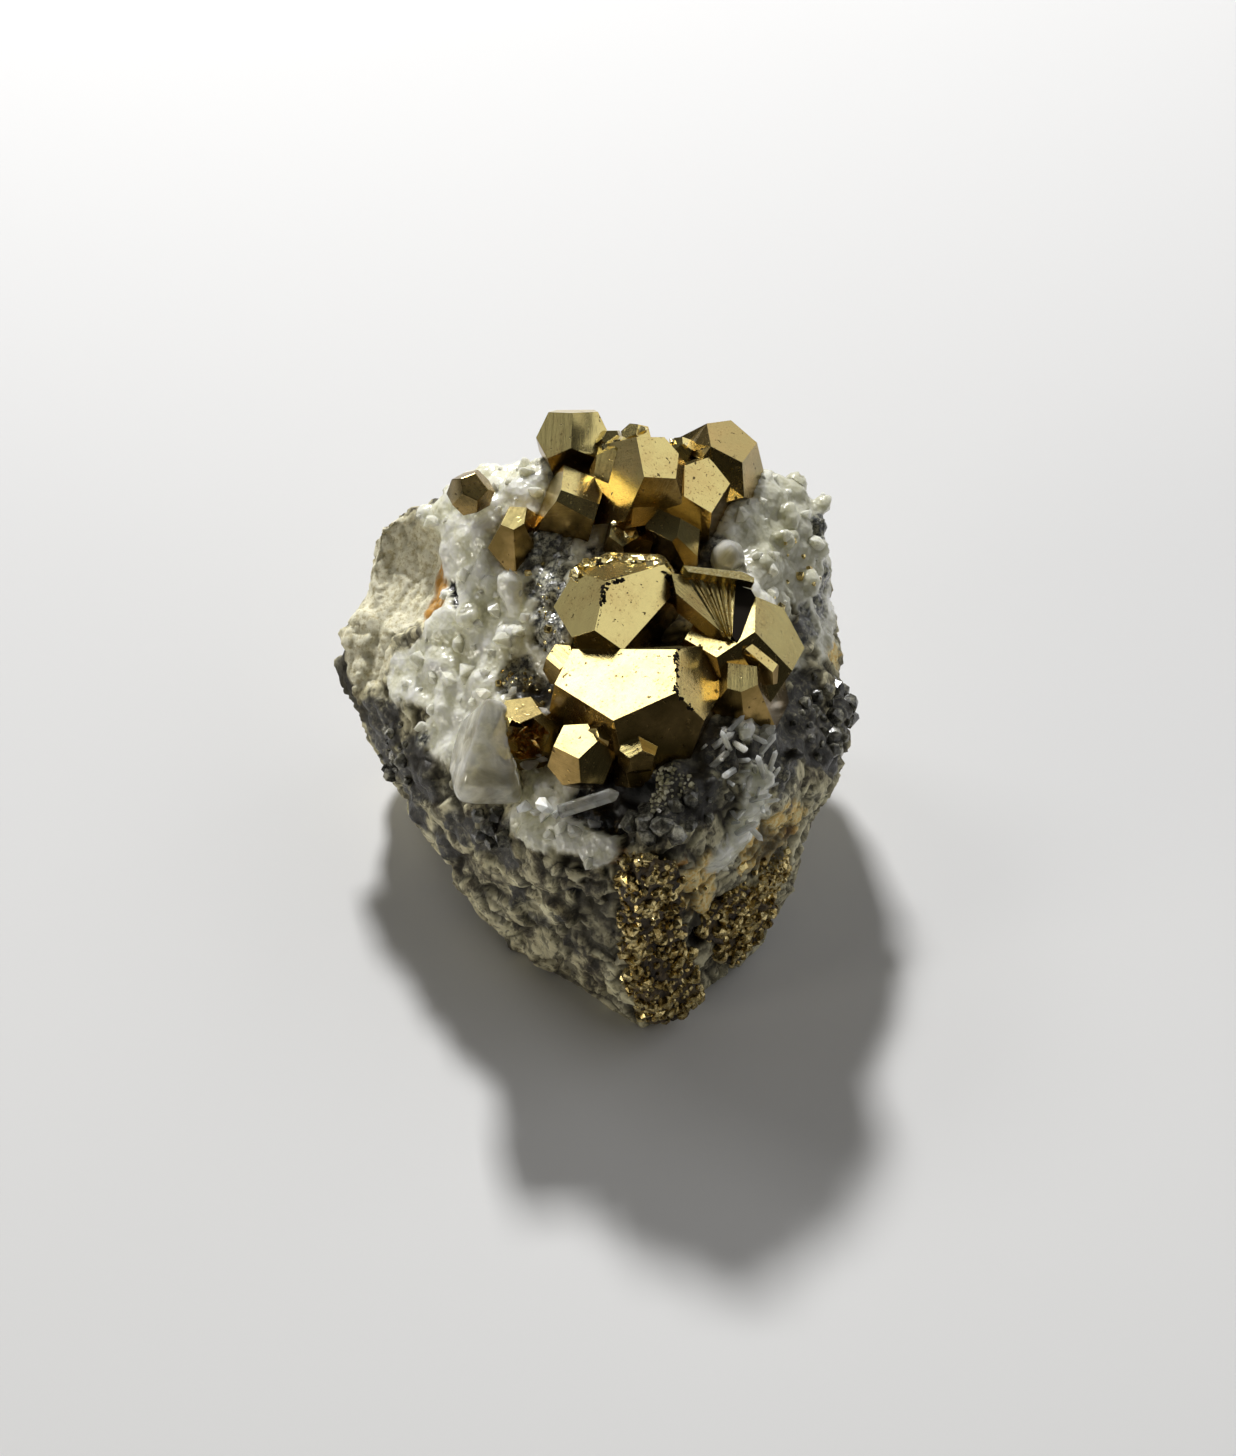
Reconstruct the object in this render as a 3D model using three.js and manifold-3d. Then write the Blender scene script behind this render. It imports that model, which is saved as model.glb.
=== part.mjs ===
// Pyrite crystal specimen: a cluster of pyritohedral crystals on a block of quartz and host rock.
// Millimetres, +Z up. The origin is on the resting face, in the middle of the specimen's outline.

import * as THREE from 'three';
import { ConvexGeometry } from 'three/addons/geometries/ConvexGeometry.js';
import { ImprovedNoise } from 'three/addons/math/ImprovedNoise.js';
import { mergeVertices } from 'three/addons/utils/BufferGeometryUtils.js';
import Module from 'manifold-3d';

// Driving dimensions
const JOINT_GAP = 0.3; // clearance between a crystal and the rock that it sits in
const OUTLINE_SHIFT = [-0.2, -1.3, 0]; // from the layout's origin to the middle of the outline
const ROCK_CORE = [2, 2, 24]; // middle of the block, from which its surface is measured
const ROCK_DETAIL = 13; // subdivisions of the block's faceted surface
const EDGE_SHARPNESS = 22; // how crisply the broken faces of the block meet
const ROUGHNESS = 0.9; // height of the broken surface's coarse relief
const ROUGH_SCALE = 9; // width of that relief
const ROUGH_OCTAVES = 3; // layers of relief, each half as wide as the one before
const CRUST_LIFT = 0.45; // the fine pyrite crust's underside above the rock
const CRUST_THICKNESS = 1.3; // mean thickness of that crust
const CRUST_SEAT = 1.5; // depth of the shallow seat that the crust fills
const TIP_SLOPE = 0.79; // rise of a quartz crystal's tip faces
const GROWTH_SEED = 20417; // seed of everything that is scattered

// The broken faces of the block: lean from straight up, heading and one point that each passes
const ROCK_FACES = [
  { lean: 94, heading: -129, through: [6.5, -32.2, 0] }, // front left wall
  { lean: 90, heading: -147, through: [-18.5, -11.3, 4] }, // left wall
  { lean: 126, heading: -165, through: [-18.5, -11.3, 4] }, // left underside
  { lean: 90, heading: -54, through: [6.5, -32, 0] }, // front right wall
  { lean: 91, heading: -33, through: [23, -20.5, 2] }, // right wall
  { lean: 121, heading: 0, through: [26.5, -13.9, 5] }, // right underside
  { lean: 88, heading: 3, through: [36, 15, 26] }, // right flank
  { lean: 56, heading: -13, through: [36.3, 7.2, 27] }, // right slope
  { lean: 98, heading: 90, through: [0, 31, 44] }, // back wall
  { lean: 95, heading: 155, through: [-34.5, 20.5, 35] }, // back left wall
  { lean: 60, heading: -165, through: [-37, 15, 21] }, // left corner
  { lean: 39, heading: -143, through: [-33, 17, 32] }, // left slope
  { lean: 11, heading: -90, through: [0, -18, 41.5] }, // top
];

// Swellings and hollows of the block: place, width and height (below zero for a hollow)
const LUMPS = [
  { at: [5, -30, 41], width: 7, height: 2.2 }, // prow rim
  { at: [-9, -20, 35], width: 6, height: 3.5 }, // front rim under the prism
  { at: [-34, 15, 23], width: 5, height: 3 }, // left corner knob
  { at: [2, 24, 47], width: 9, height: 3 }, // ridge under the rear crystals
  { at: [29, 26, 40], width: 7, height: 3 }, // right rim
  { at: [33, 1, 27], width: 5, height: 1 }, // right dark lump
  { at: [-22, -4, 16], width: 9, height: 1.6 }, // left wall bulge
  { at: [9, -28, 4], width: 7, height: 1.2 }, // foot of the prow
  { at: [4.5, -20.5, 41], width: 3, height: -3 }, // recess before the main crystal
  { at: [11, -20, 40], width: 5, height: 2.2 }, // deck below the main crystal
  { at: [-6, -4, 41], width: 5, height: -2.5 }, // trough left of the main crystals
  { at: [26, -4, 38], width: 5, height: -2 }, // dip right of the main crystals
];

// The host rock's shell-shaped hollow on the upper left
const SCOOP = { at: [-31.7, 16.2, 49.2], radius: 16 };

// Directions of a pyritohedron's twelve faces; the first becomes its top face
const PYRITE_FACES = [
  [2, 1, 0], [0, 2, 1], [1, 0, 2], [2, -1, 0], [0, 2, -1], [-1, 0, 2],
  [-2, 1, 0], [0, -2, 1], [1, 0, -2], [-2, -1, 0], [0, -2, -1], [-1, 0, -2],
].map((n) => new THREE.Vector3(...n).normalize());

// Crystals: the middle, the mean half-width, and the lean, heading and spin of the top face.
// A crystal that grew unevenly has a share of the half-width for each face, or lists its own
// faces instead, each by its lean, its heading and its distance from the middle.
const FRONT_CRYSTALS = [
  // Large lower crystal
  {
    at: [7, -8.5, 41], size: 9.5, lean: 20, heading: -160, spin: 73,
    shares: [0.93, 1.01, 1.16, 0.9, 0.9, 0.99, 1, 0.93, 1.16, 1, 1, 1],
  },
  // Large upper crystal
  {
    at: [4.7, 3.1, 48], size: 7, lean: 45, heading: -53, spin: -37,
    shares: [0.9, 1.07, 1.16, 0.8, 0.95, 1.01, 0.89, 1, 1.24, 1, 1, 1],
  },
  // Right crystal
  { at: [20.3, -0.9, 43], size: 7.1, lean: 50, heading: -8, spin: -105 },
  // Grooved column
  {
    at: [15.5, -1, 49.5],
    faces: [
      [20, -44, 2.7], [77, -125, 1.3], [113, -5, 3.4], [131, -145, 0.6],
      [88, -170, 2.9], [60, 80, 5.9], [110, 88, 5], [165, 0, 8],
    ],
  },
  // Lower right crystal
  {
    at: [20.5, -9.1, 45],
    faces: [
      [15, -75, 2.7], [80, -66, 2.4], [82, -104, 2.6], [73, -5, 2.7],
      [62, -177, 3], [53, 78, 3.2], [150, -90, 6],
    ],
  },
  // Slab under the right crystal
  {
    at: [23.4, -5.6, 46.5],
    faces: [
      [42, -54, 1.6], [77, -104, 1.6], [80, -38, 2.2], [68, 129, 2.2],
      [67, 49, 0.7], [95, 0, 2.1], [140, -90, 3],
    ],
  },
  // Small left crystal
  { at: [-2.4, 0.1, 41], size: 2.7, lean: 24, heading: -157, spin: -143 },
  // Bright front crystal
  { at: [-0.6, -15.7, 40.5], size: 3.9, lean: 18, heading: -158, spin: -130 },
  // Small front crystal
  { at: [6.4, -17.8, 43], size: 2.3, lean: 20, heading: -150, spin: 10 },
  // Bud on the large crystal
  { at: [1.7, -15.2, 43.8], size: 1.6, lean: 30, heading: -40, spin: 50 },
];

const REAR_CRYSTALS = [
  // Rear left crystal
  { at: [-0.4, 30.8, 53], size: 4.6, lean: 35, heading: -46, spin: -178 },
  // Tall crystal
  {
    at: [-1.9, 20.6, 50],
    faces: [
      [25, 17, 5.2], [44, -74, 5.8], [90, -106, 3.5], [61, 170, 3.1],
      [103, -14, 4.1], [84, 74, 4.2], [80, -137, 4.4], [145, -84, 4.1], [125, 140, 5],
    ],
  },
  // Left crystal
  {
    at: [-9.4, 18.2, 49],
    faces: [
      [10, -101, 3], [75, -60, 2.8], [75, -119, 2.5], [73, -12, 2.8], [66, 161, 1.9],
      [60, 84, 2.9], [115, -150, 4], [110, 160, 3.6], [150, -60, 5],
    ],
  },
  // Middle crystal
  {
    at: [10.4, 20.9, 56],
    faces: [
      [33, -28, 4.3], [84, -68, 4.5], [62, -160, 4.9], [78, -11, 3.8],
      [49, 92, 4.8], [65, 30, 4.2], [150, 100, 5], [140, -70, 4.6], [105, 95, 5.4],
    ],
  },
  // Small middle crystal
  {
    at: [7.7, 17.3, 55],
    faces: [
      [28, -75, 2.2], [73, -64, 2.3], [75, -167, 1.2], [71, 0, 2.2],
      [70, 87, 2.5], [135, -80, 3.6], [165, 90, 6],
    ],
  },
  // Pale crystal
  { at: [5.8, 24.2, 55], size: 3.3, lean: 30, heading: -20, spin: 70 },
  // Rear right crystal
  { at: [14.5, 22, 50], size: 5.4, lean: 38, heading: -31, spin: -27 },
  // Low crystal
  {
    at: [14.8, 14.2, 50],
    faces: [
      [60, -33, 1.6], [78, -71, 2.6], [31, -132, 4.5], [90, -9, 1.3],
      [54, 54, 1.8], [150, -60, 4], [85, 165, 6], [100, -130, 3.4], [115, 95, 4],
    ],
  },
  // Long low crystal
  { at: [6.5, 15.6, 49], size: 3, lean: 20, heading: -120, spin: 15 },
  // Three buds between the rear crystals
  { at: [8.2, 27.5, 56.6], size: 1.9, lean: 40, heading: -30, spin: 20 },
  { at: [4.6, 28, 55.6], size: 1.7, lean: 25, heading: -80, spin: -60 },
  { at: [14.4, 26.6, 54.6], size: 1.8, lean: 35, heading: 10, spin: 100 },
];

const LONE_CRYSTALS = {
  pyrite_far_crystal: { at: [18.7, 27.6, 50], size: 5.7, lean: 28, heading: 9, spin: -26 },
  pyrite_left_crystal: { at: [-14.9, 23.6, 51.5], size: 2.6, lean: 30, heading: -60, spin: 40 },
  pyrite_etched_crystal: { at: [-8.4, -9.5, 38.5], size: 4, lean: 15, heading: 100, spin: 20 },
};

// The hollow that is etched into the front of one crystal
const ETCHED_HOLLOW = { at: [-8.2, -12, 40.4], size: 2.7, lean: 15, heading: 100, spin: 20 };

const QUARTZ_PRISM = {
  at: [-14.2, -11, 37],
  faces: [
    [37, -88, 4.5], [62, -15, 5.4], [64, 176, 2.6], [100, -93, 6.5], [81, 1, 4.6], [96, -170, 5.1],
    [73, 76, 5.1], [143, 92, 5], [118, 165, 6], [116, 10, 6], [145, -95, 7],
  ],
};

// Six-sided quartz crystals: the foot, the tip and the width across their flats
const QUARTZ_NEEDLES = {
  quartz_needle: { foot: [-4, -22, 37], tip: [4, -22.5, 41], width: 1.9 },
  quartz_blade: { foot: [19, -14, 37.5], tip: [25, -11.5, 40.5], width: 2.4 },
  quartz_bud: { foot: [19.5, 13.5, 45], tip: [20.3, 11.8, 51.5], width: 4.4 },
};

// Where the fine pyrite crust covers the walls: balls along its streaks, each a place and a radius
const CRUSTS = {
  pyrite_prow_crust: [
    { at: [7.5, -31, 32], radius: 4.6 },
    { at: [7.5, -31, 25], radius: 5 },
    { at: [8, -31, 18], radius: 5 },
    { at: [8.5, -30, 11], radius: 5.5 },
    { at: [9, -29, 6], radius: 5 },
  ],
  pyrite_right_crust: [
    { at: [18, -23, 15], radius: 5 },
    { at: [20, -21, 9], radius: 5.5 },
  ],
};

// Small quartz points grown on the rock, in fields: middle, field radius, number, point width
const DRUSE_FIELDS = [
  { at: [28, 18, 40], radius: 9, count: 11, width: 2.4 },
  { at: [-14, 10, 42], radius: 9, count: 6, width: 2.6 },
  { at: [24, -14, 36], radius: 5, count: 4, width: 2 },
];

const wasm = await Module();
wasm.setup();

const noise = new ImprovedNoise();
const degrees = THREE.MathUtils.degToRad;

function direction(lean, heading) {
  return new THREE.Vector3(
    Math.sin(degrees(lean)) * Math.cos(degrees(heading)),
    Math.sin(degrees(lean)) * Math.sin(degrees(heading)),
    Math.cos(degrees(lean)),
  );
}

function seededRandom(seed) {
  let state = seed;
  return () => {
    state = (state * 16807) % 2147483647;
    return state / 2147483647;
  };
}

function toSolid(geometry) {
  const bare = geometry.clone();
  bare.deleteAttribute('normal');
  bare.deleteAttribute('uv');
  const merged = mergeVertices(bare, 1e-4);
  const mesh = new wasm.Mesh({
    numProp: 3,
    vertProperties: Float32Array.from(merged.attributes.position.array),
    triVerts: Uint32Array.from(merged.index.array),
  });
  return new wasm.Manifold(mesh);
}

function toGeometry(solid) {
  const mesh = solid.getMesh();
  const geometry = new THREE.BufferGeometry();
  geometry.setAttribute('position', new THREE.BufferAttribute(mesh.vertProperties, 3));
  geometry.setIndex(new THREE.BufferAttribute(mesh.triVerts, 1));
  geometry.computeVertexNormals();
  return geometry;
}

const joined = (solids) => solids.reduce((whole, solid) => whole.add(solid));

// Corner where three planes meet, or null where they have no common point
function cornerOf(a, b, c) {
  const volume = new THREE.Vector3().crossVectors(a.normal, b.normal).dot(c.normal);
  if (Math.abs(volume) < 1e-6) return null;
  const corner = new THREE.Vector3().crossVectors(b.normal, c.normal).multiplyScalar(a.distance);
  corner.addScaledVector(new THREE.Vector3().crossVectors(c.normal, a.normal), b.distance);
  corner.addScaledVector(new THREE.Vector3().crossVectors(a.normal, b.normal), c.distance);
  return corner.divideScalar(volume);
}

// Convex solid bounded by flat faces: unit normals and their distances from the middle
function facetedSolid(middle, normals, distances) {
  const planes = normals.map((normal, i) => ({ normal, distance: distances[i] }));
  const corners = [];
  for (let i = 0; i < planes.length; i += 1) {
    for (let j = i + 1; j < planes.length; j += 1) {
      for (let k = j + 1; k < planes.length; k += 1) {
        const corner = cornerOf(planes[i], planes[j], planes[k]);
        const kept = corner && planes.every((p) => p.normal.dot(corner) < p.distance + 1e-5);
        if (kept && corners.every((other) => other.distanceTo(corner) > 1e-3)) corners.push(corner);
      }
    }
  }
  const geometry = new ConvexGeometry(corners);
  geometry.translate(...middle);
  return toSolid(geometry);
}

// Pyritohedron whose first face is turned to the given lean and heading, then spun about it
function pyritohedron(crystal, margin) {
  const top = PYRITE_FACES[0];
  const side = new THREE.Vector3(1, -2, 0).normalize();
  const across = new THREE.Vector3().crossVectors(top, side);
  const turn = new THREE.Matrix4().makeRotationZ(degrees(crystal.heading));
  turn.multiply(new THREE.Matrix4().makeRotationY(degrees(crystal.lean)));
  turn.multiply(new THREE.Matrix4().makeRotationZ(degrees(crystal.spin - crystal.heading)));
  turn.multiply(new THREE.Matrix4().makeBasis(side, across, top).transpose());
  const normals = PYRITE_FACES.map((n) => n.clone().applyMatrix4(turn));
  const shares = crystal.shares ?? normals.map(() => 1);
  return facetedSolid(crystal.at, normals, shares.map((share) => share * crystal.size + margin));
}

// A crystal grown by a margin, which is above zero only for the socket that it sits in
function crystalSolid(crystal, margin = 0) {
  if (!crystal.faces) return pyritohedron(crystal, margin);
  const normals = crystal.faces.map(([lean, heading]) => direction(lean, heading));
  return facetedSolid(crystal.at, normals, crystal.faces.map((face) => face[2] + margin));
}

// Six-sided quartz crystal: prism faces along its axis and six sloping faces at its tip
function quartzCrystal(crystal, margin = 0) {
  const foot = new THREE.Vector3(...crystal.foot);
  const tip = new THREE.Vector3(...crystal.tip);
  const half = tip.distanceTo(foot) / 2;
  const axis = tip.clone().sub(foot).normalize();
  const turn = new THREE.Quaternion().setFromUnitVectors(new THREE.Vector3(0, 0, 1), axis);
  const normals = [new THREE.Vector3(0, 0, -1)];
  const distances = [half + margin];
  for (let side = 0; side < 6; side += 1) {
    const angle = degrees(60 * side + 15);
    const wide = side % 2 === 0;
    normals.push(new THREE.Vector3(Math.cos(angle), Math.sin(angle), 0));
    distances.push((crystal.width / 2) * (wide ? 1 : 0.92) + margin);
    const slope = new THREE.Vector3(Math.cos(angle), Math.sin(angle), TIP_SLOPE).normalize();
    normals.push(slope);
    distances.push(slope.z * half * (wide ? 0.96 : 1) + margin);
  }
  const middle = foot.clone().add(tip).multiplyScalar(0.5);
  return facetedSolid(middle.toArray(), normals.map((n) => n.applyQuaternion(turn)), distances);
}

// Height of the broken rock's relief at a point
function relief(point) {
  let height = 0;
  let scale = ROUGH_SCALE;
  let share = ROUGHNESS;
  for (let octave = 0; octave < ROUGH_OCTAVES; octave += 1) {
    height += share * noise.noise(point.x / scale, point.y / scale, point.z / scale + 7 * octave) * 2;
    scale /= 2;
    share *= 0.6;
  }
  return height;
}

// How far a point is inside a crust's area, as a share of its nearest ball's radius
function crustCover(balls, point) {
  const depths = balls.map((ball) => 1 - point.distanceTo(new THREE.Vector3(...ball.at)) / ball.radius);
  return Math.max(...depths);
}

// Distance from the core to the block's surface in a given direction
function rockReach(heading) {
  const core = new THREE.Vector3(...ROCK_CORE);
  let sum = 0;
  for (const face of ROCK_FACES) {
    const normal = direction(face.lean, face.heading);
    const distance = normal.dot(new THREE.Vector3(...face.through).sub(core));
    const facing = normal.dot(heading);
    if (facing > 0) sum += (facing / distance) ** EDGE_SHARPNESS;
  }
  let reach = sum ** (-1 / EDGE_SHARPNESS);
  const point = core.clone().addScaledVector(heading, reach);
  reach += relief(point);
  for (const lump of LUMPS) {
    const apart = point.distanceTo(new THREE.Vector3(...lump.at)) / lump.width;
    reach += lump.height * Math.exp(-apart * apart);
  }
  for (const balls of Object.values(CRUSTS)) {
    reach -= CRUST_SEAT * THREE.MathUtils.smoothstep(crustCover(balls, point), -0.2, 0.2);
  }
  if (heading.z < 0) reach = Math.min(reach, core.z / -heading.z);
  return reach;
}

// The block's surface, raised at each of its corners by the height that a function gives
function rockBlock(raise) {
  const sphere = new THREE.IcosahedronGeometry(1, ROCK_DETAIL);
  sphere.deleteAttribute('normal');
  sphere.deleteAttribute('uv');
  const geometry = mergeVertices(sphere);
  const points = geometry.attributes.position;
  for (let i = 0; i < points.count; i += 1) {
    const heading = new THREE.Vector3().fromBufferAttribute(points, i).normalize();
    const point = heading.clone().multiplyScalar(rockReach(heading) + raise());
    point.add(new THREE.Vector3(...ROCK_CORE));
    points.setXYZ(i, point.x, point.y, Math.max(0, point.z));
  }
  return toSolid(geometry);
}

// Small quartz points standing out of the rock within a field
function druse(field, random) {
  const core = new THREE.Vector3(...ROCK_CORE);
  const points = [];
  for (let i = 0; i < field.count; i += 1) {
    const angle = random() * Math.PI * 2;
    const apart = field.radius * Math.sqrt(random());
    const target = new THREE.Vector3(...field.at);
    target.x += apart * Math.cos(angle);
    target.y += apart * Math.sin(angle);
    const heading = target.sub(core).normalize();
    const root = core.clone().addScaledVector(heading, rockReach(heading));
    const tilt = new THREE.Vector3(random() - 0.5, random() - 0.5, random() * 0.5);
    const axis = heading.clone().add(tilt).normalize();
    const width = field.width * (0.6 + 0.7 * random());
    points.push(quartzCrystal({
      foot: root.clone().addScaledVector(axis, -width).toArray(),
      tip: root.clone().addScaledVector(axis, width * 0.9).toArray(),
      width,
    }));
  }
  return points;
}

// Crust of fine crystals: the part of an uneven layer over the rock that its balls reach
function crustSolid(balls, layer) {
  const reaches = balls.map((ball) => {
    const geometry = new THREE.IcosahedronGeometry(ball.radius, 1);
    return toSolid(geometry.translate(...ball.at));
  });
  return layer.intersect(joined(reaches));
}

function pyriteMaterial() {
  return new THREE.MeshStandardMaterial({ color: 0xc9a651, metalness: 1, roughness: 0.28 });
}

function crustMaterial() {
  return new THREE.MeshStandardMaterial({ color: 0x8f7433, metalness: 1, roughness: 0.45 });
}

function quartzMaterial() {
  return new THREE.MeshStandardMaterial({ color: 0xc9cac2, metalness: 0, roughness: 0.2 });
}

function rockMaterial() {
  return new THREE.MeshStandardMaterial({ color: 0x8d8674, metalness: 0, roughness: 0.75 });
}

const specimen = new THREE.Group();
specimen.position.set(...OUTLINE_SHIFT);

function addPiece(name, solid, material) {
  const mesh = new THREE.Mesh(toGeometry(solid), material);
  mesh.name = name;
  specimen.add(mesh);
}

const socketOf = (crystal) => crystalSolid(crystal, JOINT_GAP);

// The two clusters, each grown together into one solid
addPiece('pyrite_front_cluster', joined(FRONT_CRYSTALS.map((c) => crystalSolid(c))), pyriteMaterial());
addPiece('pyrite_rear_cluster', joined(REAR_CRYSTALS.map((c) => crystalSolid(c))), pyriteMaterial());
const sockets = [...FRONT_CRYSTALS, ...REAR_CRYSTALS].map(socketOf);

// The crystals that stand alone
const clusterClearance = joined(sockets);
const hollow = crystalSolid(ETCHED_HOLLOW);
for (const [name, crystal] of Object.entries(LONE_CRYSTALS)) {
  const taken = name === 'pyrite_etched_crystal' ? clusterClearance.add(hollow) : clusterClearance;
  addPiece(name, crystalSolid(crystal).subtract(taken), pyriteMaterial());
  sockets.push(socketOf(crystal));
}

// The quartz crystals
const pyriteClearance = joined(sockets);
addPiece('quartz_prism', crystalSolid(QUARTZ_PRISM).subtract(pyriteClearance), quartzMaterial());
sockets.push(socketOf(QUARTZ_PRISM));
for (const [name, crystal] of Object.entries(QUARTZ_NEEDLES)) {
  addPiece(name, quartzCrystal(crystal).subtract(pyriteClearance), quartzMaterial());
  sockets.push(quartzCrystal(crystal, JOINT_GAP));
}

// The block, with its quartz points, its scoop and a socket for every crystal
const random = seededRandom(GROWTH_SEED);
const points = DRUSE_FIELDS.flatMap((field) => druse(field, random));
const scoop = toSolid(new THREE.IcosahedronGeometry(SCOOP.radius, 5).translate(...SCOOP.at));
const block = rockBlock(() => 0);
const rock = joined([block, ...points]).subtract(joined([...sockets, scoop]));
addPiece('matrix_rock', rock, rockMaterial());

// The fine pyrite crusts, each an uneven layer in its shallow seat
const upper = rockBlock(() => CRUST_LIFT + CRUST_THICKNESS * (0.6 + 0.8 * random()));
const layer = upper.subtract(rockBlock(() => CRUST_LIFT)).subtract(joined(points));
for (const [name, balls] of Object.entries(CRUSTS)) {
  addPiece(name, crustSolid(balls, layer), crustMaterial());
}

export default specimen;
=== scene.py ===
import math

import bmesh
import bpy
import numpy as np
from mathutils import Matrix, Vector, noise
from mathutils.bvhtree import BVHTree


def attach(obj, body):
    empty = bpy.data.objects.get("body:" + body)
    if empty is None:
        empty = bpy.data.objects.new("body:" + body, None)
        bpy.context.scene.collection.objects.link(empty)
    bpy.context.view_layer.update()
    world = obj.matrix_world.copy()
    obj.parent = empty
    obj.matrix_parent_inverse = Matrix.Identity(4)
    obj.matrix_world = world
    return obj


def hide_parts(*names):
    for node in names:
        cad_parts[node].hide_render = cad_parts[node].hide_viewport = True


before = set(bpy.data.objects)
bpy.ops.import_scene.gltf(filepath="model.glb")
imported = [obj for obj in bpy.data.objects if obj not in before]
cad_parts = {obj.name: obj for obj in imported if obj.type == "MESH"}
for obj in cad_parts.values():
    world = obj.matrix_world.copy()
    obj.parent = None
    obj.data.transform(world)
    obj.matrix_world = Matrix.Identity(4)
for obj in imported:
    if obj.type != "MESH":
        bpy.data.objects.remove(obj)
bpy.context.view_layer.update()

# The setting: a pale floor with painted light and shade on it, a camera that looks down on the
# specimen, and soft lights.
# A small strong lamp behind casts the shadow, and the panels around are mirrored in the crystals.
MM = 0.001
IMAGE_LONG_SIDE = 1456
FOCAL_PIXELS = 3000
SENSOR = 36
CAMERA_FROM = Vector((3.8, -275.7, 338.1)) * MM
CAMERA_DOWN = math.radians(48.48)
CAMERA_ROLL = math.radians(-2.35)
NEAREST_SEEN = 0.01
FARTHEST_SEEN = 20


def link(thing):
    bpy.context.scene.collection.objects.link(thing)
    return thing


def smooth(value, low, high):
    share = np.clip((value - low) / (high - low), 0, 1)
    return share * share * (3 - 2 * share)


class Flow:
    """A number on its way through a material, so that sums are written as expressions."""

    def __init__(self, finish, socket):
        self.finish = finish
        self.socket = socket

    def __add__(self, other):
        return self.finish.sum("ADD", self, other)

    def __radd__(self, other):
        return self.finish.sum("ADD", other, self)

    def __sub__(self, other):
        return self.finish.sum("SUBTRACT", self, other)

    def __rsub__(self, other):
        return self.finish.sum("SUBTRACT", other, self)

    def __mul__(self, other):
        return self.finish.sum("MULTIPLY", self, other)

    def __rmul__(self, other):
        return self.finish.sum("MULTIPLY", other, self)


class Finish:
    """A material in the making: node() adds any node, the rest are short forms of it."""

    def __init__(self, name):
        self.material = bpy.data.materials.new(name)
        self.material.use_nodes = True
        self.tree = self.material.node_tree
        self.tree.nodes.clear()
        self.place = self.node("ShaderNodeTexCoord", output="Object")

    def node(self, kind, settings=None, inputs=None, output=0):
        made = self.tree.nodes.new(kind)
        for key, value in (settings or {}).items():
            if key == "stops":
                while len(made.color_ramp.elements) < len(value):
                    made.color_ramp.elements.new(0.5)
                for element, (at, colour) in zip(made.color_ramp.elements, value):
                    element.position = at
                    element.color = (*colour, 1)
            else:
                setattr(made, key, value)
        for key, value in (inputs or {}).items():
            if isinstance(value, Flow):
                self.tree.links.new(value.socket, made.inputs[key])
            else:
                made.inputs[key].default_value = value
        return Flow(self, made.outputs[output])

    def sum(self, operation, first, second):
        return self.node("ShaderNodeMath", {"operation": operation}, {0: first, 1: second})

    def attribute(self, name, output="Fac"):
        return self.node("ShaderNodeAttribute", {"attribute_name": name}, output=output)

    def grain(self, size, detail=4, roughness=0.6, place=None, distortion=0.0):
        inputs = {"Vector": place or self.place, "Scale": 1 / (size * MM), "Detail": detail,
                  "Roughness": roughness, "Distortion": distortion}
        return self.node("ShaderNodeTexNoise", {}, inputs)

    def cells(self, size, feature="F1", place=None, output="Distance"):
        inputs = {"Vector": place or self.place, "Scale": 1 / (size * MM)}
        return self.node("ShaderNodeTexVoronoi", {"feature": feature}, inputs, output)

    def band(self, value, low, high):
        inputs = {"Value": value, "From Min": low, "From Max": high}
        return self.node("ShaderNodeMapRange", {"interpolation_type": "SMOOTHSTEP"}, inputs)

    def blend(self, factor, first, second, how="MIX"):
        settings = {"data_type": "RGBA", "blend_type": how}
        return self.node("ShaderNodeMix", settings, {0: factor, 6: first, 7: second}, 2)

    def bump(self, height, depth, strength=1.0, normal=None):
        inputs = {"Height": height, "Distance": depth * MM, "Strength": strength}
        if normal:
            inputs["Normal"] = normal
        return self.node("ShaderNodeBump", {}, inputs)

    def shader(self, inputs):
        return self.node("ShaderNodeBsdfPrincipled", {}, inputs)

    def done(self, surface, volume=None):
        inputs = {"Surface": surface}
        if volume:
            inputs["Volume"] = volume
        out = self.tree.nodes.new("ShaderNodeOutputMaterial")
        for key, value in inputs.items():
            self.tree.links.new(value.socket, out.inputs[key])
        return self.material


camera_data = bpy.data.cameras.new("camera")
camera_data.sensor_width = SENSOR
camera_data.lens = SENSOR * FOCAL_PIXELS / IMAGE_LONG_SIDE
camera_data.clip_start = NEAREST_SEEN
camera_data.clip_end = FARTHEST_SEEN
camera = link(bpy.data.objects.new("camera", camera_data))
look = Vector((0, math.cos(CAMERA_DOWN), -math.sin(CAMERA_DOWN)))
level = Vector((1, 0, 0))
upright = level.cross(look)
right = math.cos(CAMERA_ROLL) * level + math.sin(CAMERA_ROLL) * upright
above = -math.sin(CAMERA_ROLL) * level + math.cos(CAMERA_ROLL) * upright
facing = Matrix((right, above, -look)).transposed().to_4x4()
camera.matrix_world = Matrix.Translation(CAMERA_FROM) @ facing
bpy.context.scene.camera = camera

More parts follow.
